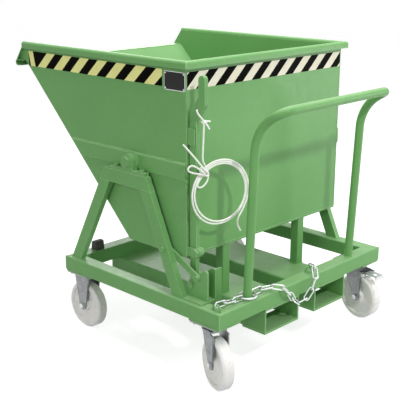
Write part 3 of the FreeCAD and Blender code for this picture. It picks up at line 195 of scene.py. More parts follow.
def dress(tree, shader, tone, gloss, skin=None):
    """Links a finish's colour, its roughness and, where it has one, its relief to the shader."""
    tree.links.new(tone.outputs[MIXED], shader.inputs["Base Color"])
    tree.links.new(gloss.outputs["Result"], shader.inputs["Roughness"])
    if skin:
        tree.links.new(skin.outputs["Normal"], shader.inputs["Normal"])


def per(millimetres):
    """Texture scale at which one feature is that many millimetres wide."""
    return 1 / (millimetres * MM)


def rgba(value, share=1.0):
    """A linear colour with its alpha, darker or paler by a share."""
    return tuple(min(1.0, c * share) for c in value) + (1.0,)


def sprayed_enamel(name, value, highlit):
    # Machine enamel sprayed on folded, welded plate: satin, with a soft orange peel that blurs the
    # highlights, cloudy by a tenth, with a painted highlight on edges, and a paler tint on upper
    # faces that is partly a little dust and partly painted top light
    material, tree, shader, place = start_material(name, IOR=1.5, Specular_IOR_Level=0.22)
    clouds = add(tree, "TexNoise", {"Vector": place, "Scale": per(280), "Detail": 4.0})
    mottle = add(tree, "TexNoise", {"Vector": place, "Scale": per(22), "Detail": 5.0,
                                    "Roughness": 0.62})
    tone = add(tree, "Mix", {0: clouds.outputs["Fac"], COLOUR_A: rgba(value, 0.90),
                             COLOUR_B: rgba(value, 1.10)}, data_type="RGBA")
    speck = add(tree, "MapRange", {"Value": mottle.outputs["Fac"], "From Min": 0.3,
                                   "From Max": 0.7, "To Min": 0.0, "To Max": 0.14})
    mottled = add(tree, "Mix", {0: speck.outputs["Result"], COLOUR_A: tone.outputs[MIXED],
                                COLOUR_B: rgba(value, 0.72)}, data_type="RGBA")
    # Painted highlight on edges: where the rounded normal departs from the true one, the enamel is
    # paler, for the light that rounded edges catch. The highlight on a real edge is about 1 mm wide;
    # it is drawn 4 mm wide so that it shows
    rounded = add(tree, "Bevel", {"Radius": 4.0 * MM}, samples=6)
    faces = add(tree, "NewGeometry")
    along = add(tree, "VectorMath", {0: rounded.outputs["Normal"], 1: faces.outputs["Normal"]},
                operation="DOT_PRODUCT")
    edge = add(tree, "MapRange", {"Value": along.outputs["Value"], "From Min": 0.995,
                                  "From Max": 0.80, "To Min": 0.0, "To Max": 0.75})
    broken = add(tree, "MapRange", {"Value": mottle.outputs["Fac"], "From Min": 0.36,
                                    "From Max": 0.60, "To Min": 0.25, "To Max": 1.0})
    # Painted edge highlight, broken up by the mottle
    painted_edge_highlight = add(tree, "Math", {0: edge.outputs["Result"], 1: broken.outputs["Result"]},
               operation="MULTIPLY")
    edged = add(tree, "Mix", {0: painted_edge_highlight.outputs["Value"], COLOUR_A: mottled.outputs[MIXED],
                              COLOUR_B: rgba(highlit)}, data_type="RGBA")
    # Paler tint on faces that look up: partly dust and partly painted top light, for the light that
    # falls on upper faces
    upward = add(tree, "SeparateXYZ", {"Vector": faces.outputs["Normal"]})
    upward_dust_and_light = add(tree, "MapRange", {"Value": upward.outputs["Z"], "From Min": 0.35,
                                     "From Max": 1.0, "To Min": 0.0, "To Max": 0.55})
    dust_and_painted_top_light = add(tree, "Math", {0: upward_dust_and_light.outputs["Result"], 1: clouds.outputs["Fac"]},
               operation="MULTIPLY")
    dusted_and_top_lit = add(tree, "Mix", {0: dust_and_painted_top_light.outputs["Value"], COLOUR_A: edged.outputs[MIXED],
                               COLOUR_B: rgba(linear("#BBD2AE"))}, data_type="RGBA")
    satin = add(tree, "MapRange", {"Value": mottle.outputs["Fac"], "From Min": 0.25,
                                   "From Max": 0.75, "To Min": 0.34, "To Max": 0.50})
    # Real orange peel is about 2 mm wide; it is drawn at 5 mm so that it shows
    peel = add(tree, "TexNoise", {"Vector": place, "Scale": per(5), "Detail": 2.0})
    skin = add(tree, "Bump", {"Height": peel.outputs["Fac"], "Strength": 0.10,
                              "Distance": 0.6 * MM})
    dress(tree, shader, dusted_and_top_lit, satin, skin)
    return material


def plated_zinc(name, value):
    # Zinc-plated steel: a grey metal with faint crystal flakes and dull handled patches. The flakes
    # are under 1 mm; they are drawn at 7 mm so that they show
    material, tree, shader, place = start_material(name, Metallic=1.0)
    flakes = add(tree, "TexVoronoi", {"Vector": place, "Scale": per(7)}, feature="F1")
    shade = add(tree, "SeparateColor", {"Color": flakes.outputs["Color"]})
    blotch = add(tree, "TexNoise", {"Vector": place, "Scale": per(30), "Detail": 4.0})
    tone = add(tree, "Mix", {0: shade.outputs["Red"], COLOUR_A: rgba(value, 0.80),
                             COLOUR_B: rgba(value, 1.08)}, data_type="RGBA")
    dull = add(tree, "MapRange", {"Value": blotch.outputs["Fac"], "From Min": 0.45,
                                  "From Max": 0.70, "To Min": 0.0, "To Max": 0.35})
    dulled = add(tree, "Mix", {0: dull.outputs["Result"], COLOUR_A: tone.outputs[MIXED],
                               COLOUR_B: rgba(value, 0.55)}, data_type="RGBA")
    gloss = add(tree, "MapRange", {"Value": blotch.outputs["Fac"], "From Min": 0.3,
                                   "From Max": 0.7, "To Min": 0.30, "To Max": 0.52})
    grain = add(tree, "TexNoise", {"Vector": place, "Scale": per(2.5), "Detail": 3.0})
    skin = add(tree, "Bump", {"Height": grain.outputs["Fac"], "Strength": 0.12,
                              "Distance": 0.3 * MM})
    dress(tree, shader, dulled, gloss, skin)
    return material


def cast_polyamide(name, value):
    # Cast polyamide turned on a lathe: milky white, a soft sheen, grey scuffs. Lathe marks are under
    # 1 mm; they are drawn as a 3 mm grain so that they show
    material, tree, shader, place = start_material(name, IOR=1.53, Subsurface_Weight=0.12,
                                                   Subsurface_Scale=4 * MM)
    scuff = add(tree, "TexNoise", {"Vector": place, "Scale": per(16), "Detail": 6.0,
                                   "Roughness": 0.7})
    soiled = add(tree, "MapRange", {"Value": scuff.outputs["Fac"], "From Min": 0.52,
                                    "From Max": 0.78, "To Min": 0.0, "To Max": 0.55})
    tone = add(tree, "Mix", {0: soiled.outputs["Result"], COLOUR_A: rgba(value),
                             COLOUR_B: rgba(linear("#B3B1A8"))}, data_type="RGBA")
    sheen = add(tree, "MapRange", {"Value": scuff.outputs["Fac"], "From Min": 0.3,
                                   "From Max": 0.7, "To Min": 0.36, "To Max": 0.55})
    lathe = add(tree, "TexNoise", {"Vector": place, "Scale": per(3), "Detail": 2.0})
    skin = add(tree, "Bump", {"Height": lathe.outputs["Fac"], "Strength": 0.08,
                              "Distance": 0.4 * MM})
    dress(tree, shader, tone, sheen, skin)
    return material


def moulded_rubber(name, value):
    # Moulded rubber: dark grey, matt, with a leathery grain and a paler bloom. The grain is about
    # 1 mm; it is drawn at 2.5 mm so that it shows
    material, tree, shader, place = start_material(name, IOR=1.52)
    bloom = add(tree, "TexNoise", {"Vector": place, "Scale": per(25), "Detail": 4.0})
    tone = add(tree, "Mix", {0: bloom.outputs["Fac"], COLOUR_A: rgba(value, 0.75),
                             COLOUR_B: rgba(value, 1.35)}, data_type="RGBA")
    matt = add(tree, "MapRange", {"Value": bloom.outputs["Fac"], "To Min": 0.65, "To Max": 0.9})
    grain = add(tree, "TexVoronoi", {"Vector": place, "Scale": per(2.5)},
                feature="DISTANCE_TO_EDGE")
    skin = add(tree, "Bump", {"Height": grain.outputs["Distance"], "Strength": 0.3,
                              "Distance": 0.5 * MM})
    dress(tree, shader, tone, matt, skin)
    return material


def laid_polypropylene(name, value):
    # Three-strand polypropylene: waxy white threads, a slight sheen, soiled in patches
    material, tree, shader, place = start_material(name, IOR=1.49, Sheen_Weight=0.25,
                                                   Subsurface_Weight=0.08,
                                                   Subsurface_Scale=2 * MM)
    soil = add(tree, "TexNoise", {"Vector": place, "Scale": per(60), "Detail": 4.0})
    soiled = add(tree, "MapRange", {"Value": soil.outputs["Fac"], "From Min": 0.45,
                                    "From Max": 0.75, "To Min": 0.0, "To Max": 0.25})
    tone = add(tree, "Mix", {0: soiled.outputs["Result"], COLOUR_A: rgba(value),
                             COLOUR_B: rgba(linear("#CBD3BF"))}, data_type="RGBA")
    waxy = add(tree, "MapRange", {"Value": soil.outputs["Fac"], "To Min": 0.45, "To Max": 0.65})
    # Threads are about 0.5 mm; they are drawn at 1.2 mm so that they show
    threads = add(tree, "TexNoise", {"Vector": place, "Scale": per(1.2), "Detail": 2.0})
    skin = add(tree, "Bump", {"Height": threads.outputs["Fac"], "Strength": 0.35,
                              "Distance": 0.4 * MM})
    dress(tree, shader, tone, waxy, skin)
    return material


def printed_film(name, value, grime):
    # Vinyl film with printed stripes over tiny bead cells. The print is matt, so its face throws
    # back far less light than bare vinyl does
    material, tree, shader, place = start_material(name, IOR=1.12, Specular_IOR_Level=0.1)
    # The bead cells are under 1 mm; they are drawn at 3 mm so that they show
    cells = add(tree, "TexVoronoi", {"Vector": place, "Scale": per(3)}, feature="DISTANCE_TO_EDGE")
    patch = add(tree, "TexNoise", {"Vector": place, "Scale": per(45), "Detail": 5.0})
    soiled = add(tree, "MapRange", {"Value": patch.outputs["Fac"], "From Min": 0.42,
                                    "From Max": 0.75, "To Min": 0.0, "To Max": 0.22})
    tone = add(tree, "Mix", {0: soiled.outputs["Result"], COLOUR_A: rgba(value),
                             COLOUR_B: rgba(grime)}, data_type="RGBA")
    gloss = add(tree, "MapRange", {"Value": patch.outputs["Fac"], "To Min": 0.30, "To Max": 0.50})
    skin = add(tree, "Bump", {"Height": cells.outputs["Distance"], "Strength": 0.08,
                              "Distance": 0.2 * MM})
    dress(tree, shader, tone, gloss, skin)
    return material


def brushed_aluminium(name):
    # Rolled aluminium sheet, brushed along its length: fine lines that stretch the highlights. The
    # lines are about 0.2 mm apart; they are drawn at 1.2 mm so that they show
    material, tree, shader, place = start_material(name, Metallic=1.0)
    drawn = add(tree, "Mapping", {"Vector": place, "Scale": (per(40), per(1.2), per(1.2))})
    lines = add(tree, "TexNoise", {"Vector": drawn.outputs["Vector"], "Scale": 1.0, "Detail": 3.0})
    tone = add(tree, "Mix", {0: lines.outputs["Fac"], COLOUR_A: rgba(linear("#B4B6B5")),
                             COLOUR_B: rgba(linear("#E2E3E1"))}, data_type="RGBA")
    gloss = add(tree, "MapRange", {"Value": lines.outputs["Fac"], "To Min": 0.28, "To Max": 0.46})
    skin = add(tree, "Bump", {"Height": lines.outputs["Fac"], "Strength": 0.15,
                              "Distance": 0.1 * MM})
    dress(tree, shader, tone, gloss, skin)
    return material


def anodised_black(name, value):
    # Black anodised aluminium: a dense dye under a hard matt skin with small rubbed spots
    material, tree, shader, place = start_material(name, IOR=1.6, Specular_IOR_Level=0.15)
    rub = add(tree, "TexNoise", {"Vector": place, "Scale": per(9), "Detail": 6.0,
                                 "Roughness": 0.7})
    rubbed = add(tree, "MapRange", {"Value": rub.outputs["Fac"], "From Min": 0.55,
                                    "From Max": 0.8, "To Min": 0.0, "To Max": 0.5})
    tone = add(tree, "Mix", {0: rubbed.outputs["Result"], COLOUR_A: rgba(value),
                             COLOUR_B: rgba(linear("#4A4C47"))}, data_type="RGBA")
    gloss = add(tree, "MapRange", {"Value": rub.outputs["Fac"], "To Min": 0.32, "To Max": 0.5})
    dress(tree, shader, tone, gloss)
    return material


def finishes():
    """All materials by slot or film, each made once under the name of what it really is."""
    finish = bpy.context.scene.trolley_finish
    table = {
        # The enamel's second colour is its painted edge highlight
        "green_paint": (sprayed_enamel, "sprayed_enamel_on_steel_plate", finish.enamel,
                        finish.enamel_edge_highlight),
        # Dull zinc darker partly as painted shade, bright zinc paler partly as painted highlight
        "zinc_plated_steel": (plated_zinc, "dull_zinc_plated_pressed_steel", finish.zinc),
        "bright_zinc": (plated_zinc, "bright_zinc_plated_hardware", finish.bright),
        "cast_polyamide": (cast_polyamide, "cast_polyamide_turned", finish.polyamide),
        "buffer_rubber": (moulded_rubber, "moulded_rubber", finish.rubber),
        "polypropylene_cord": (laid_polypropylene, "laid_polypropylene_rope", finish.cord),
        "pale_film": (printed_film, "pale_printed_film", finish.tape_pale, linear("#CFC9AC")),
        "yellow_film": (printed_film, "yellow_printed_film", finish.tape_yellow,
                        linear("#DCDB86")),
        "black_film": (printed_film, "black_printed_film", finish.tape_black, linear("#1E1E19")),
        "aluminium": (brushed_aluminium, "brushed_aluminium_sheet"),
        "anodised": (anodised_black, "black_anodised_aluminium", finish.plate),
    }
    return {key: bpy.data.materials.get(name) or make(name, *values)
            for key, (make, name, *values) in table.items()}


def new_piece(name, mesh, body, materials):
    """A new object in the frame that moves with a body and takes one slot's finish."""
    piece = bpy.data.objects.new(name, mesh)
    bpy.context.scene.collection.objects.link(piece)
    for material in materials:
        mesh.materials.append(material)
    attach(piece, body)
    return piece


def spline_points(route, steps):
    """Points read from one NURBS spline whose control points are the route."""
    curve = bpy.data.curves.new("route", "CURVE")
    curve.dimensions = "3D"
    spline = curve.splines.new("NURBS")
    spline.points.add(len(route) - 1)
    for point, place in zip(spline.points, route):
        point.co = (*place, 1.0)
    spline.order_u = 3
    spline.use_endpoint_u = True
    spline.resolution_u = steps
    holder = bpy.data.objects.new("route", curve)
    bpy.context.scene.collection.objects.link(holder)
    mesh = bpy.data.meshes.new_from_object(holder)
    points = [vertex.co.copy() for vertex in mesh.vertices]
    bpy.data.objects.remove(holder)
    bpy.data.curves.remove(curve)
    bpy.data.meshes.remove(mesh)
    return points


def carried_frames(points):
    """Place, side and up vectors along a line, carried on without twist."""
    ahead = [(b - a).normalized() for a, b in zip(points, points[1:])]
    ahead.append(ahead[-1])
    side = ahead[0].orthogonal().normalized()
    frames = []
    for place, direction in zip(points, ahead):
        side = (side - direction * side.dot(direction)).normalized()
        frames.append((place, side, direction.cross(side)))
    return frames


def even_points(points, step):
    """The same line with points at even distances."""
    result, left = [points[0].copy()], step
    for a, b in zip(points, points[1:]):
        run = (b - a).length
        done = 0.0
        while run - done >= left:
            done += left
            result.append(a.lerp(b, done / run))
            left = step
        left -= run - done
    result.append(points[-1].copy())
    return result


def ring_line(middle, radius, across, up, points=40):
    """A closed circle of points, whose last is its first."""
    turns = [2 * math.pi * i / points for i in range(points + 1)]
    return [middle + across * (radius * math.cos(t)) + up * (radius * math.sin(t)) for t in turns]


def new_ring(mesh, middle, radius, across, up, sides):
    """Adds one ring of points to a mesh."""
    return [mesh.verts.new(p) for p in ring_line(middle, radius, across, up, sides)[:-1]]


def close_tube(mesh, rings):
    """Joins rings of equal count into one closed tube."""
    sides = len(rings[0])
    for one, two in zip(rings, rings[1:]):
        for k in range(sides):
            n = (k + 1) % sides
            mesh.faces.new((one[k], one[n], two[n], two[k]))
    mesh.faces.new(list(reversed(rings[0])))
    mesh.faces.new(rings[-1])


def finished_mesh(name, mesh, smooth=True):
    """The built mesh as Blender data, with its four-sided faces smooth or all of them flat."""
    bmesh.ops.recalc_face_normals(mesh, faces=mesh.faces)
    data = bpy.data.meshes.new(name)
    mesh.to_mesh(data)
    mesh.free()
    for face in data.polygons:
        face.use_smooth = smooth and len(face.vertices) == 4
    return data


def laid_rope(name, lines, diameter, lay):
    """Mesh of three strands twisted round each line, drawn in at both ends."""
    count, sides, rings_per_turn, end_share = 3, 7, 14, 0.55
    strand_radius, swing = 0.285 * diameter, 0.235 * diameter
    mesh = bmesh.new()
    for points in lines:
        line = even_points(points, lay / rings_per_turn)
        frames = carried_frames(line)
        for strand in range(count):
            rings, walked = [], 0.0
            for i, (place, side, up) in enumerate(frames):
                if i:
                    walked += (line[i] - line[i - 1]).length
                turn = 2 * math.pi * (walked / lay + strand / count)
                drawn_in = end_share if i in (0, len(frames) - 1) else 1.0
                outward = side * math.cos(turn) + up * math.sin(turn)
                middle = place + outward * (swing * drawn_in)
                rings.append(new_ring(mesh, middle, strand_radius * drawn_in, side, up, sides))
            close_tube(mesh, rings)
    return finished_mesh(name, mesh)


# Pull rope, in millimetres of the drawing: the middle and the turn of its hung coil, the coil's
# radius at the tie, how far the tie sits from straight up, the hole in the lever, how far behind
# that the stopper knot sits, and the knot on the lead as a place near the coil
COIL_CENTRE = (310.0, -361.8, 715.4)
COIL_TILT = math.radians(-14.0)
COIL_BAND = 119.0
TIE_TURN = math.radians(40.0)
HOLE = (279.5, -445.0, 1030.75)
STOPPER_BEHIND = 20.0
LEAD_KNOT = (-78.0, 272.0, 10.0)
# Steps between two points of a route
ROPE_STEPS, TIE_STEPS, KNOT_STEPS = 12, 10, 8


def on_coil(across, up, out):
    """A place near the hung coil, in millimetres across, up and out from its middle."""
    x, y, z = COIL_CENTRE
    run, rise = math.cos(COIL_TILT), -math.sin(COIL_TILT)
    return at(x + across * rise + out * run, y + across * run - out * rise, z + up)


def stopper_place():
    """Where the stopper knot sits, behind the lever's hole."""
    x, y, z = HOLE
    return at(x, y + STOPPER_BEHIND, z)


def pull_rope_route():
    """From the stopper knot through the lever, down the lead, through the bow and round the coil."""
    x, y, z = HOLE
    route = [stopper_place(), at(x, y + 4, z), at(x, y - 14, z), at(x + 19.5, y - 14, z - 20.75)]
    # The lead hangs straight, passes behind the coil and bows inside it
    route += [on_coil(*step) for step in (
        (-78, 276.6, 10.2), (-77.2, 252, 7.1), (-74, 156.7, -4.9), (-73, 126, -8.8),
        (-56, 100, -9.2), (-47, 71, -8), (-57, 46, -4), (-80.5, 30, -1), (-102.4, 35.1, 0))]
    # Loose turns: each is wider than the last, wavers where it is free, and they part at the lower
    # left, away from the tie
    first, walk, steps = 152, 912, 36
    inner, growth, centre_up = 109.5, 7.2, 2.0
    parting, leaning = (-2.5, 2.0, 0.0), (2.5, -2.0, 1.0)
    parting_side, tied_side = math.radians(225), math.radians(130)
    waver, waves, wave_start = 1.2, 1.15, 1.0
    for i in range(steps + 1):
        walked = walk * i / steps
        turn = math.radians(first - walked)
        number = int(walked / 360)
        apart = max(0.0, math.cos(turn - parting_side)) ** 2
        free = 0.5 - 0.5 * math.cos(turn - tied_side)
        radius = inner + growth * walked / 360 + apart * parting[number]
        radius += waver * free * math.sin(waves * math.radians(walked) + wave_start)
        route.append(on_coil(radius * math.cos(turn), centre_up + radius * math.sin(turn),
                             free * leaning[number]))
    # The end leaves the last turn and hangs down
    route += [on_coil(*step) for step in (
        (84, -99, 1), (75, -117, 1), (77, -137, 0), (84, -151, 0), (91, -163, 0))]
    return route


def tie_route():
    """A short cord: two wraps round the coil, a small loop and a standing end."""
    lean, rise = math.sin(TIE_TURN), math.cos(TIE_TURN)

    def step(across, up, out):
        return on_coil(across - COIL_BAND * lean, up + COIL_BAND * rise, out)

    def on_tie(outward, along, out):
        return step(along * rise - outward * lean, outward * rise + along * lean, out)

    # Wraps: half their height and depth and their points, the angle they start at and go on by, and
    # where along the coil they start and how far they run
    reach, half, points = 16.5, 8.8, 26
    start, going_on = 900, 30
    first, run = 7.3, 15.2
    route = []
    for i in range(points):
        turn = math.radians(start - going_on * i)
        route.append(on_tie(reach * math.cos(turn), first - run * i / (points - 1),
                            half * math.sin(turn)))
    # Small loop, then a turn round the wraps, then the standing end
    route += [step(-8, -9, 14.8), step(-56, 4, 12), step(-71, 14, 11), step(-66, 28, 12),
              step(-47, 31, 13.5), step(-5, -1, 14.8)]
    route += [on_tie(-10, -7, 14.5), on_tie(-18, -3, 13.5), on_tie(-19, 5, 13.5),
              on_tie(-11, 9, 14.5)]
    route += [step(-1, 7, 14.8), step(-41, 57, 13.5), step(-87, 110, 8)]
    return route


def knot_line(middle, axis, reach):
    """An overhand knot: one closed line that passes over and under itself three times."""
    points, rise = 24, 1.2
    axis = axis.normalized()
    side = axis.orthogonal().normalized()
    up = axis.cross(side)
    route = []
    for i in range(points + 1):
        t = 2 * math.pi * i / points
        x, y = math.sin(t) + 2 * math.sin(2 * t), math.cos(t) - 2 * math.cos(2 * t)
        z = -rise * math.sin(3 * t)
        route.append(middle + (side * x + up * y + axis * z) * reach)
    return spline_points(route, KNOT_STEPS)


class TROLLEY_OT_pull_rope(bpy.types.Operator):
    """Lays the pull rope, its knots and the cord that ties its coil"""
    bl_idname = "trolley.pull_rope"
    bl_label = "Pull rope"

    def execute(self, context):
        sizes = context.scene.trolley_rope
        stopper = self.rope("stopper_knot", [knot_line(stopper_place(), RIGHTWARD, sizes.knot)])
        # The lead's knot has two short ends, given in millimetres from it
        knot, drop = on_coil(*LEAD_KNOT), Vector((0.1, 0.2, -1))
        ends = [[Vector((2, 3, 2)), Vector((8, 10, 5)), Vector((12, 20, 1))],
                [Vector((3, 4, -5)), Vector((9, 12, -14)), Vector((11, 16, -27))]]
        stubs = [spline_points([knot + step * MM for step in end], KNOT_STEPS) for end in ends]
        hitch = self.rope("lead_knot", [knot_line(knot, drop, sizes.knot)] + stubs)
        line = spline_points(pull_rope_route(), ROPE_STEPS)
        rope = self.rope("pull_rope", [line])
        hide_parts("rope_lead", "rope_coil")
        line = spline_points(tie_route(), TIE_STEPS)
        tie = self.rope("tie_cord", [line])
        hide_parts("rope_tie")
        return {"FINISHED"}

    def rope(self, name, lines):
        sizes = bpy.context.scene.trolley_rope
        slot = "polypropylene_cord"
        mesh = laid_rope(name, lines, sizes.diameter, sizes.lay)
        return new_piece(name, mesh, "lever", [finishes()[slot]])


class TROLLEY_OT_finishes(bpy.types.Operator):
    """Gives each packed node its slot's finish, small hardware bright zinc with painted highlight"""
    bl_idname = "trolley.finishes"
    bl_label = "Finishes"

    def execute(self, context):
        made = finishes()
        for row in frame["record"]["subparts"]:
            data = frame["nodes"][row["node"]].data
            data.materials.clear()
            # Small hardware takes the paler zinc, partly a painted highlight
            bright = row["node"] in BRIGHT_ZINC_AND_HIGHLIGHT_NODES
            data.materials.append(made["bright_zinc" if bright else row["material_slot"]])
        return {"FINISHED"}


# Stripes drawn before the first and after the last, because a slanted stripe reaches past its foot
SPARE_STRIPES = 3


def clipped(outline, limit, keep_above):
    """The part of a flat outline on one side of a line of constant first coordinate."""
    sign = 1 if keep_above else -1
    kept = []
    for a, b in zip(outline, outline[1:] + outline[:1]):
        inside_a, inside_b = sign * (a[0] - limit) >= 0, sign * (b[0] - limit) >= 0
        if inside_a:
            kept.append(a)
        if inside_a != inside_b:
            share = (limit - a[0]) / (b[0] - a[0])
            kept.append((limit, a[1] + (b[1] - a[1]) * share))
    return kept


def striped_strip(name, origin, along, length, sizes, pitch, lean, first, pale_from):
    """A closed strip of film with slanted stripes; the second material is the printed black."""
    out = along.cross(UPWARD).normalized()
    mesh = bmesh.new()
    half, sliver = pitch / 2, 0.05 * MM
    count = int((length + sizes.slant) / half) + SPARE_STRIPES
    for i in range(-SPARE_STRIPES, count):
        low = first + i * half
        high = low + lean * sizes.slant
        outline = [(low, 0.0), (low + half, 0.0), (high + half, sizes.height), (high, sizes.height)]
        outline = clipped(clipped(outline, 0.0, True), length, False)
        if len(outline) < 3:
            continue
        corners = [origin + along * u + UPWARD * v + out * sizes.thickness for u, v in outline]
        face = mesh.faces.new([mesh.verts.new(c) for c in corners])
        face.material_index = 1 if i < pale_from else i % 2
    bmesh.ops.remove_doubles(mesh, verts=mesh.verts, dist=sliver)
    bmesh.ops.dissolve_degenerate(mesh, edges=mesh.edges, dist=sliver)
    grown = bmesh.ops.extrude_face_region(mesh, geom=list(mesh.faces), use_keep_orig=True)
    moved = [v for v in grown["geom"] if isinstance(v, bmesh.types.BMVert)]
    bmesh.ops.translate(mesh, verts=moved, vec=-out * sizes.thickness)
    return finished_mesh(name, mesh, smooth=False)


class TROLLEY_OT_hazard_tape(bpy.types.Operator):
    """Lays striped film along the rear wall and both side walls"""
    bl_idname = "trolley.hazard_tape"
    bl_label = "Hazard tape"

    def execute(self, context):
        sizes = context.scene.trolley_tape
        made = finishes()
        proud = 0.2
        left, right, rear = -SIDE_FACE - proud, SIDE_FACE + proud, REAR_FACE + proud
        side_foot, rear_foot = 1098.0, 1096.0
        side_pitch, rear_pitch = sizes.side_pitch, sizes.rear_pitch
        # Each side tape ends at the lip with a short piece whose one pale stripe is nearly upright
        short, upright, every = 64 * MM, 0.2, -SPARE_STRIPES
        # Name, lower corner, direction, length, pitch, lean, where the first stripe starts, and the
        # number of the stripe from which pale and black take turns; those before it are black
        strips = [
            ("rear_tape", at(rear, -458, rear_foot), RIGHTWARD, 916, rear_pitch, 1, -7.8, every),
            ("left_tape", at(-665, left, side_foot), BACKWARD, 778, side_pitch, 1, -96, 1),
            ("left_tape_end", at(-711.5, left, side_foot), BACKWARD, 46, short, -upright, 12.5, 0),
            ("right_tape", at(205, right, side_foot), FORWARD, 870, side_pitch, 1, 0, every),
            ("right_tape_end", at(-665.5, right, side_foot), FORWARD, 46, short, upright, 1.5, 0)]
        for name, origin, along, length, pitch, lean, first, pale_from in strips:
            mesh = striped_strip(name, origin, along, length * MM, sizes, pitch, lean, first * MM,
                                 pale_from)
            film = made["pale_film" if name == "rear_tape" else "yellow_film"]
            new_piece(name, mesh, "skip", [film, made["black_film"]])
        return {"FINISHED"}


# Middle of the blank plate on the left wall, in millimetres of the drawing
PLATE_X, PLATE_Z = 178.0, 1122.5


def rounded_rectangle(width, height, corner, steps=5):
    """Corner-rounded outline round the origin, as pairs of distances across and up."""
    outline = []
    for quarter, (sx, sy) in enumerate(((1, 1), (-1, 1), (-1, -1), (1, -1))):
        for k in range(steps + 1):
            turn = math.pi / 2 * (quarter + k / steps)
            outline.append((sx * (width / 2 - corner) + corner * math.cos(turn),
                            sy * (height / 2 - corner) + corner * math.sin(turn)))
    return outline


class TROLLEY_OT_blank_plate(bpy.types.Operator):
    """Rivets a blank plate with a black field to the left wall"""
    bl_idname = "trolley.blank_plate"
    bl_label = "Blank plate"

    def execute(self, context):
        sizes = context.scene.trolley_plate
        made = finishes()
        middle = at(PLATE_X, -SIDE_FACE, PLATE_Z)
        field_low, field_high = 0.9 * sizes.sheet, 1.25 * sizes.sheet
        inset = 2.2 * sizes.rivet
        mesh = bmesh.new()
        self.slab(mesh, middle, (sizes.width, sizes.height, sizes.corner), 0.0, sizes.sheet, 0)
        field = (sizes.width - 2 * sizes.border, sizes.height - 2 * sizes.border, sizes.corner / 2)
        self.slab(mesh, middle, field, field_low, field_high, 1)
        for sx in (-1, 1):
            for sy in (-1, 1):
                across, up = sx * (sizes.width / 2 - inset), sy * (sizes.height / 2 - inset)
                place = middle + BACKWARD * across + UPWARD * up + LEFTWARD * sizes.sheet
                self.rivet(mesh, place, sizes.rivet)
        data = finished_mesh("blank_plate", mesh)
        new_piece("blank_plate", data, "skip", [made["aluminium"], made["anodised"]])
        return {"FINISHED"}

    def slab(self, mesh, middle, outline_sizes, low, high, material):
        """A rounded plate between two levels, its edge eased so that it catches the light."""
        upright_share, draw_share = 0.7, 0.4
        height, rise = outline_sizes[1], high - low
        rings = []
        for level, draw in ((low, 0.0), (low + rise * upright_share, 0.0), (high, rise * draw_share)):
            shrink = 1 - 2 * draw / height
            lifted = middle + LEFTWARD * level
            rings.append([mesh.verts.new(lifted + BACKWARD * (u * shrink) + UPWARD * (v * shrink))
                          for u, v in rounded_rectangle(*outline_sizes)])
        known = set(mesh.faces)
        close_tube(mesh, rings)
        for face in set(mesh.faces) - known:
            face.material_index = material

    def rivet(self, mesh, place, radius):
        """A domed head that is nearly closed at its crown."""
        levels, sides, crown, tip = 4, 14, 0.55, 0.08
        rings = []
        for k in range(levels + 1):
            lift = math.pi / 2 * k / levels
            middle = place + LEFTWARD * (crown * radius * math.sin(lift))
            reach = radius * max(math.cos(lift), tip)
            rings.append(new_ring(mesh, middle, reach, BACKWARD, UPWARD, sides))
        close_tube(mesh, rings)


# Shares of the bead's radius: round the handle's tube, in fillets, in lighter fillets and stitches,
# at the fold of the floor, on outer corners, and on mitres that are ground nearly flush
TUBE, FILLET, LIGHT, FOLD, CORNER, GROUND = 1.0, 0.9, 0.8, 0.6, 0.5, 0.4


def bead_mesh(name, seams, sizes):
    """Rippled weld beads along the given lines, each with its share of the bead's radius."""
    sides, ripple, end_share = 6, (0.86, 1.0, 0.96), 0.45
    mesh = bmesh.new()
    for points, share in seams:
        line = even_points(points, sizes.ripple / len(ripple))
        rings = []
        for i, (place, side, up) in enumerate(carried_frames(line)):
            closing = end_share if i in (0, len(line) - 1) else 1.0
            reach = sizes.bead * share * ripple[i % len(ripple)] * closing
            rings.append(new_ring(mesh, place, reach, side, up, sides))
        close_tube(mesh, rings)
    return finished_mesh(name, mesh)


def weld(seams, share, start, end):
    """Adds one straight seam with its share of the bead's radius."""
    seams.append(([Vector(start), Vector(end)], share))


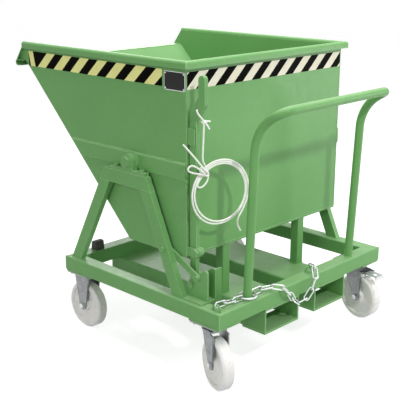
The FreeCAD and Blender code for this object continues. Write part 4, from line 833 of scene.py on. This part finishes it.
class TROLLEY_OT_weld_seams(bpy.types.Operator):
    """Lays weld beads where the plates and tubes of the frame and the skip meet"""
    bl_idname = "trolley.weld_seams"
    bl_label = "Weld seams"

    def execute(self, context):
        sizes = context.scene.trolley_weld
        paint = [finishes()["green_paint"]]
        for body, seams in (("trolley", self.frame_seams()), ("skip", self.skip_seams(sizes))):
            name = body + "_weld_seams"
            new_piece(name, bead_mesh(name, seams, sizes), body, paint)
        return {"FINISHED"}

    def frame_seams(self):
        seams = []
        front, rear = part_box("front_beam"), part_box("rear_beam")
        top, under = front[1].z, front[0].z
        left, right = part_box("left_rail"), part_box("right_rail")
        # Mitres of the four corners, ground nearly flush
        for outer_x, inner_x in ((front[0].x, front[1].x), (rear[1].x, rear[0].x)):
            for outer_y, inner_y in ((left[0].y, left[1].y), (right[1].y, right[0].y)):
                weld(seams, GROUND, (outer_x, outer_y, top), (inner_x, inner_y, top))
        # Feet and shoulders of the stands
        for side in ("left", "right"):
            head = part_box("stand_head_" + side)
            for leg, end, sign in (("front", 0, 1), ("rear", 1, -1)):
                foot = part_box("stand_" + leg + "_leg_" + side)
                width = abs(foot[1 - end].x - head[end].x) * sign
                outer, shoulder = foot[end].x, head[end].x
                inner, low = outer + width, head[0].z
                for y in (foot[0].y, foot[1].y):
                    weld(seams, FILLET, (outer, y, top), (inner, y, top))
                    weld(seams, CORNER, (shoulder, y, low), (shoulder + width, y, low))
                for x in (outer, inner):
                    weld(seams, FILLET, (x, foot[0].y, top), (x, foot[1].y, top))
        # Feet of the push handle, the rest posts and the catch
        radius = HANDLE_TUBE * MM / 2
        for y in (-HANDLE_SPAN / 2 * MM, HANDLE_SPAN / 2 * MM):
            middle = Vector((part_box("push_handle")[0].x + radius, y, top))
            seams.append((ring_line(middle, radius, BACKWARD, RIGHTWARD), TUBE))
        low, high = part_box("rest_posts")
        width = high.x - low.x
        for y in (low.y, high.y - width):
            corners = [(low.x, y, low.z), (high.x, y, low.z), (high.x, y + width, low.z),
                       (low.x, y + width, low.z)]
            for start, end in zip(corners, corners[1:] + corners[:1]):
                weld(seams, FILLET, start, end)
        low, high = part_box("catch_bracket")
        for y in (low.y, high.y):
            weld(seams, LIGHT, (low.x, y, low.z), (high.x, y, low.z))
        # Fork pockets under the cross tubes
        for side in ("left", "right"):
            low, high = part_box("fork_pocket_" + side)
            for x in (front[1].x, rear[0].x, front[0].x, rear[1].x):
                weld(seams, LIGHT, (x, low.y, under), (x, high.y, under))
        return seams

    def skip_seams(self, sizes):
        seams = []
        floor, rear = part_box("skip_floor"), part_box("skip_rear_wall")
        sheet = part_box("skip_front_sheet")
        top, bottom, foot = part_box("rim_rear")[0].z, floor[1].z, rear[0].z
        inside, outside, fold = rear[0].x, rear[1].x, sheet[1].x
        for side, sign in (("left", -1), ("right", 1)):
            wall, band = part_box("skip_" + side + "_wall"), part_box("side_band_" + side)
            inner = wall[1].y if sign < 0 else wall[0].y
            outer = band[1].y if sign < 0 else band[0].y
            # Inside corners of the skip, welded full length
            weld(seams, FILLET, (inside, inner, bottom), (inside, inner, top))
            weld(seams, FILLET, (fold, inner, bottom), (inside, inner, bottom))
            weld(seams, FILLET, (fold, inner, bottom), (sheet[0].x, inner, sheet[1].z))
            # Outer rear corner
            weld(seams, CORNER, (outside, inner, foot), (outside, inner, top))
            # Stitches along the reinforcing bar
            for z in (band[0].z, band[1].z):
                x = band[1].x - sizes.stitch_pitch / 2
                while x > band[0].x + sizes.stitch_pitch:
                    weld(seams, LIGHT, (x, outer, z), (x - sizes.stitch, outer, z))
                    x -= sizes.stitch_pitch
            # Round the trunnion
            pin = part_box("trunnion_" + side)
            middle = (pin[0] + pin[1]) / 2
            middle.y = band[0].y if sign < 0 else band[1].y
            radius = (pin[1].x - pin[0].x) / 2
            seams.append((ring_line(middle, radius, BACKWARD, UPWARD), LIGHT))
        # Across the skip: floor to rear wall inside and outside, and floor to front sheet
        for share, x, z in ((FILLET, inside, bottom), (CORNER, outside, foot), (FOLD, fold, bottom)):
            weld(seams, share, (x, floor[0].y, z), (x, floor[1].y, z))
        return seams


# Camera fitted to the edges in the photograph: its turn, its tip below level and its place in the
# drawing, with the width of the frame that the lens is given for
CAMERA_TURN, CAMERA_TIP = math.radians(44.282), math.radians(16.314)
CAMERA_PLACE = (2352.1, -2563.9, 1566.0)
FRAME_WIDTH = 36.0
# Place and width of each round lamp, and the point that all of them face, in metres
LAMPS = {
    "key": ((4.01, -1.09, 3.82), 0.3),
    "top": ((0.3, 0.3, 4.2), 3.0),
    "fill": ((1.0, -5.2, 2.6), 3.2),
    "side": ((3.2, 3.6, 0.85), 1.6),
    "back": ((-4.2, 3.0, 3.0), 2.6),
}
LAMP_AIM = Vector((0.2, 0.0, 0.75))
# Floor: its darkest and palest grey, the white it adds where it is seen directly, and its radius
FLOOR_DARK, FLOOR_PALE, FLOOR_GLOW, FLOOR_RADIUS = 0.48, 0.52, 0.77, 30.0


def seen_directly(tree):
    """1 for rays from the camera, a glossy face or glass, which see the white studio, and else 0."""
    path = add(tree, "LightPath")
    mirrored = add(tree, "Math", {0: path.outputs["Is Glossy Ray"],
                                  1: path.outputs["Is Transmission Ray"]}, operation="MAXIMUM")
    seen = add(tree, "Math", {0: path.outputs["Is Camera Ray"], 1: mirrored.outputs["Value"]},
               operation="MAXIMUM")
    return seen.outputs["Value"]


class TROLLEY_OT_stage(bpy.types.Operator):
    """Sets the camera, the soft lights, the surround and the pale floor"""
    bl_idname = "trolley.stage"
    bl_label = "Stage"

    def execute(self, context):
        scene, stage = context.scene, context.scene.trolley_stage
        scene.view_settings.view_transform = "Standard"
        self.camera(scene, stage.lens)
        for name, (place, width) in LAMPS.items():
            lamp = bpy.data.lights.new(name, "AREA")
            lamp.shape = "DISK"
            lamp.size = width
            lamp.energy = getattr(stage, name)
            holder = bpy.data.objects.new(name, lamp)
            holder.location = place
            holder.rotation_euler = (LAMP_AIM - Vector(place)).to_track_quat("-Z", "Y").to_euler()
            scene.collection.objects.link(holder)
        self.surround(scene, stage.sky)
        self.floor(scene)
        return {"FINISHED"}

    def camera(self, scene, lens):
        level = math.cos(CAMERA_TIP)
        ahead = Vector((-math.sin(CAMERA_TURN) * level, math.cos(CAMERA_TURN) * level,
                        -math.sin(CAMERA_TIP)))
        right = Vector((math.cos(CAMERA_TURN), math.sin(CAMERA_TURN), 0))
        axes = Matrix((right, right.cross(ahead), -ahead)).transposed().to_4x4()
        camera = bpy.data.objects.new("camera", bpy.data.cameras.new("camera"))
        camera.data.lens = lens
        camera.data.sensor_width = FRAME_WIDTH
        camera.data.sensor_fit = "HORIZONTAL"
        camera.matrix_world = Matrix.Translation(at(*CAMERA_PLACE)) @ axes
        scene.collection.objects.link(camera)
        scene.camera = camera

    def surround(self, scene, strength):
        world = bpy.data.worlds.new("white_surround")
        world.use_nodes = True
        scene.world = world
        tree = world.node_tree
        tree.nodes.clear()
        level = add(tree, "MapRange", {"Value": seen_directly(tree), "To Min": strength,
                                       "To Max": 1.0})
        sky = add(tree, "Background", {"Color": (1, 1, 1, 1), "Strength": level.outputs["Result"]})
        add(tree, "OutputWorld", {"Surface": sky.outputs["Background"]})

    def floor(self, scene):
        # Painted studio floor: matt, pale and faintly cloudy, lifted to white for the camera
        material, tree, shader, place = start_material("matt_pale_floor_paint", Roughness=0.9,
                                                       Emission_Color=(1, 1, 1, 1))
        clouds = add(tree, "TexNoise", {"Vector": place, "Scale": per(900), "Detail": 3.0})
        tone = add(tree, "Mix", {0: clouds.outputs["Fac"], COLOUR_A: rgba([FLOOR_DARK] * 3),
                                 COLOUR_B: rgba([FLOOR_PALE] * 3)}, data_type="RGBA")
        glow = add(tree, "Math", {0: seen_directly(tree), 1: FLOOR_GLOW}, operation="MULTIPLY")
        tree.links.new(tone.outputs[MIXED], shader.inputs["Base Color"])
        tree.links.new(glow.outputs["Value"], shader.inputs["Emission Strength"])
        mesh = bmesh.new()
        bmesh.ops.create_circle(mesh, cap_ends=True, radius=FLOOR_RADIUS, segments=64)
        data = finished_mesh("floor", mesh, smooth=False)
        data.materials.append(material)
        floor = bpy.data.objects.new("floor", data)
        scene.collection.objects.link(floor)


class TROLLEY_PT_panel(bpy.types.Panel):
    """Lists the steps that dress the trolley"""
    bl_idname = "TROLLEY_PT_panel"
    bl_label = "Tipping skip trolley"
    bl_space_type = "VIEW_3D"
    bl_region_type = "UI"
    bl_category = "Trolley"

    def draw(self, context):
        for operator in OPERATORS:
            self.layout.operator(operator.bl_idname)
        for name, group in GROUPS.items():
            values = getattr(context.scene, name)
            section = self.layout.column(align=True)
            section.label(text=group.__doc__)
            for key in group.__annotations__:
                section.prop(values, key)


GROUPS = {
    "trolley_finish": TROLLEY_PG_finish,
    "trolley_rope": TROLLEY_PG_rope,
    "trolley_tape": TROLLEY_PG_tape,
    "trolley_weld": TROLLEY_PG_weld,
    "trolley_plate": TROLLEY_PG_plate,
    "trolley_stage": TROLLEY_PG_stage,
}
OPERATORS = [TROLLEY_OT_stage, TROLLEY_OT_pull_rope, TROLLEY_OT_finishes, TROLLEY_OT_hazard_tape,
             TROLLEY_OT_blank_plate, TROLLEY_OT_weld_seams]
CLASSES = [*GROUPS.values(), *OPERATORS, TROLLEY_PT_panel]


def register():
    for item in CLASSES:
        bpy.utils.register_class(item)
    for name, group in GROUPS.items():
        setattr(bpy.types.Scene, name, PointerProperty(type=group))


def unregister():
    for name in GROUPS:
        delattr(bpy.types.Scene, name)
    for item in reversed(CLASSES):
        bpy.utils.unregister_class(item)


def main():
    register()
    for operator in OPERATORS:
        group, name = operator.bl_idname.split(".")
        getattr(getattr(bpy.ops, group), name)()


if __name__ == "__main__":
    main()
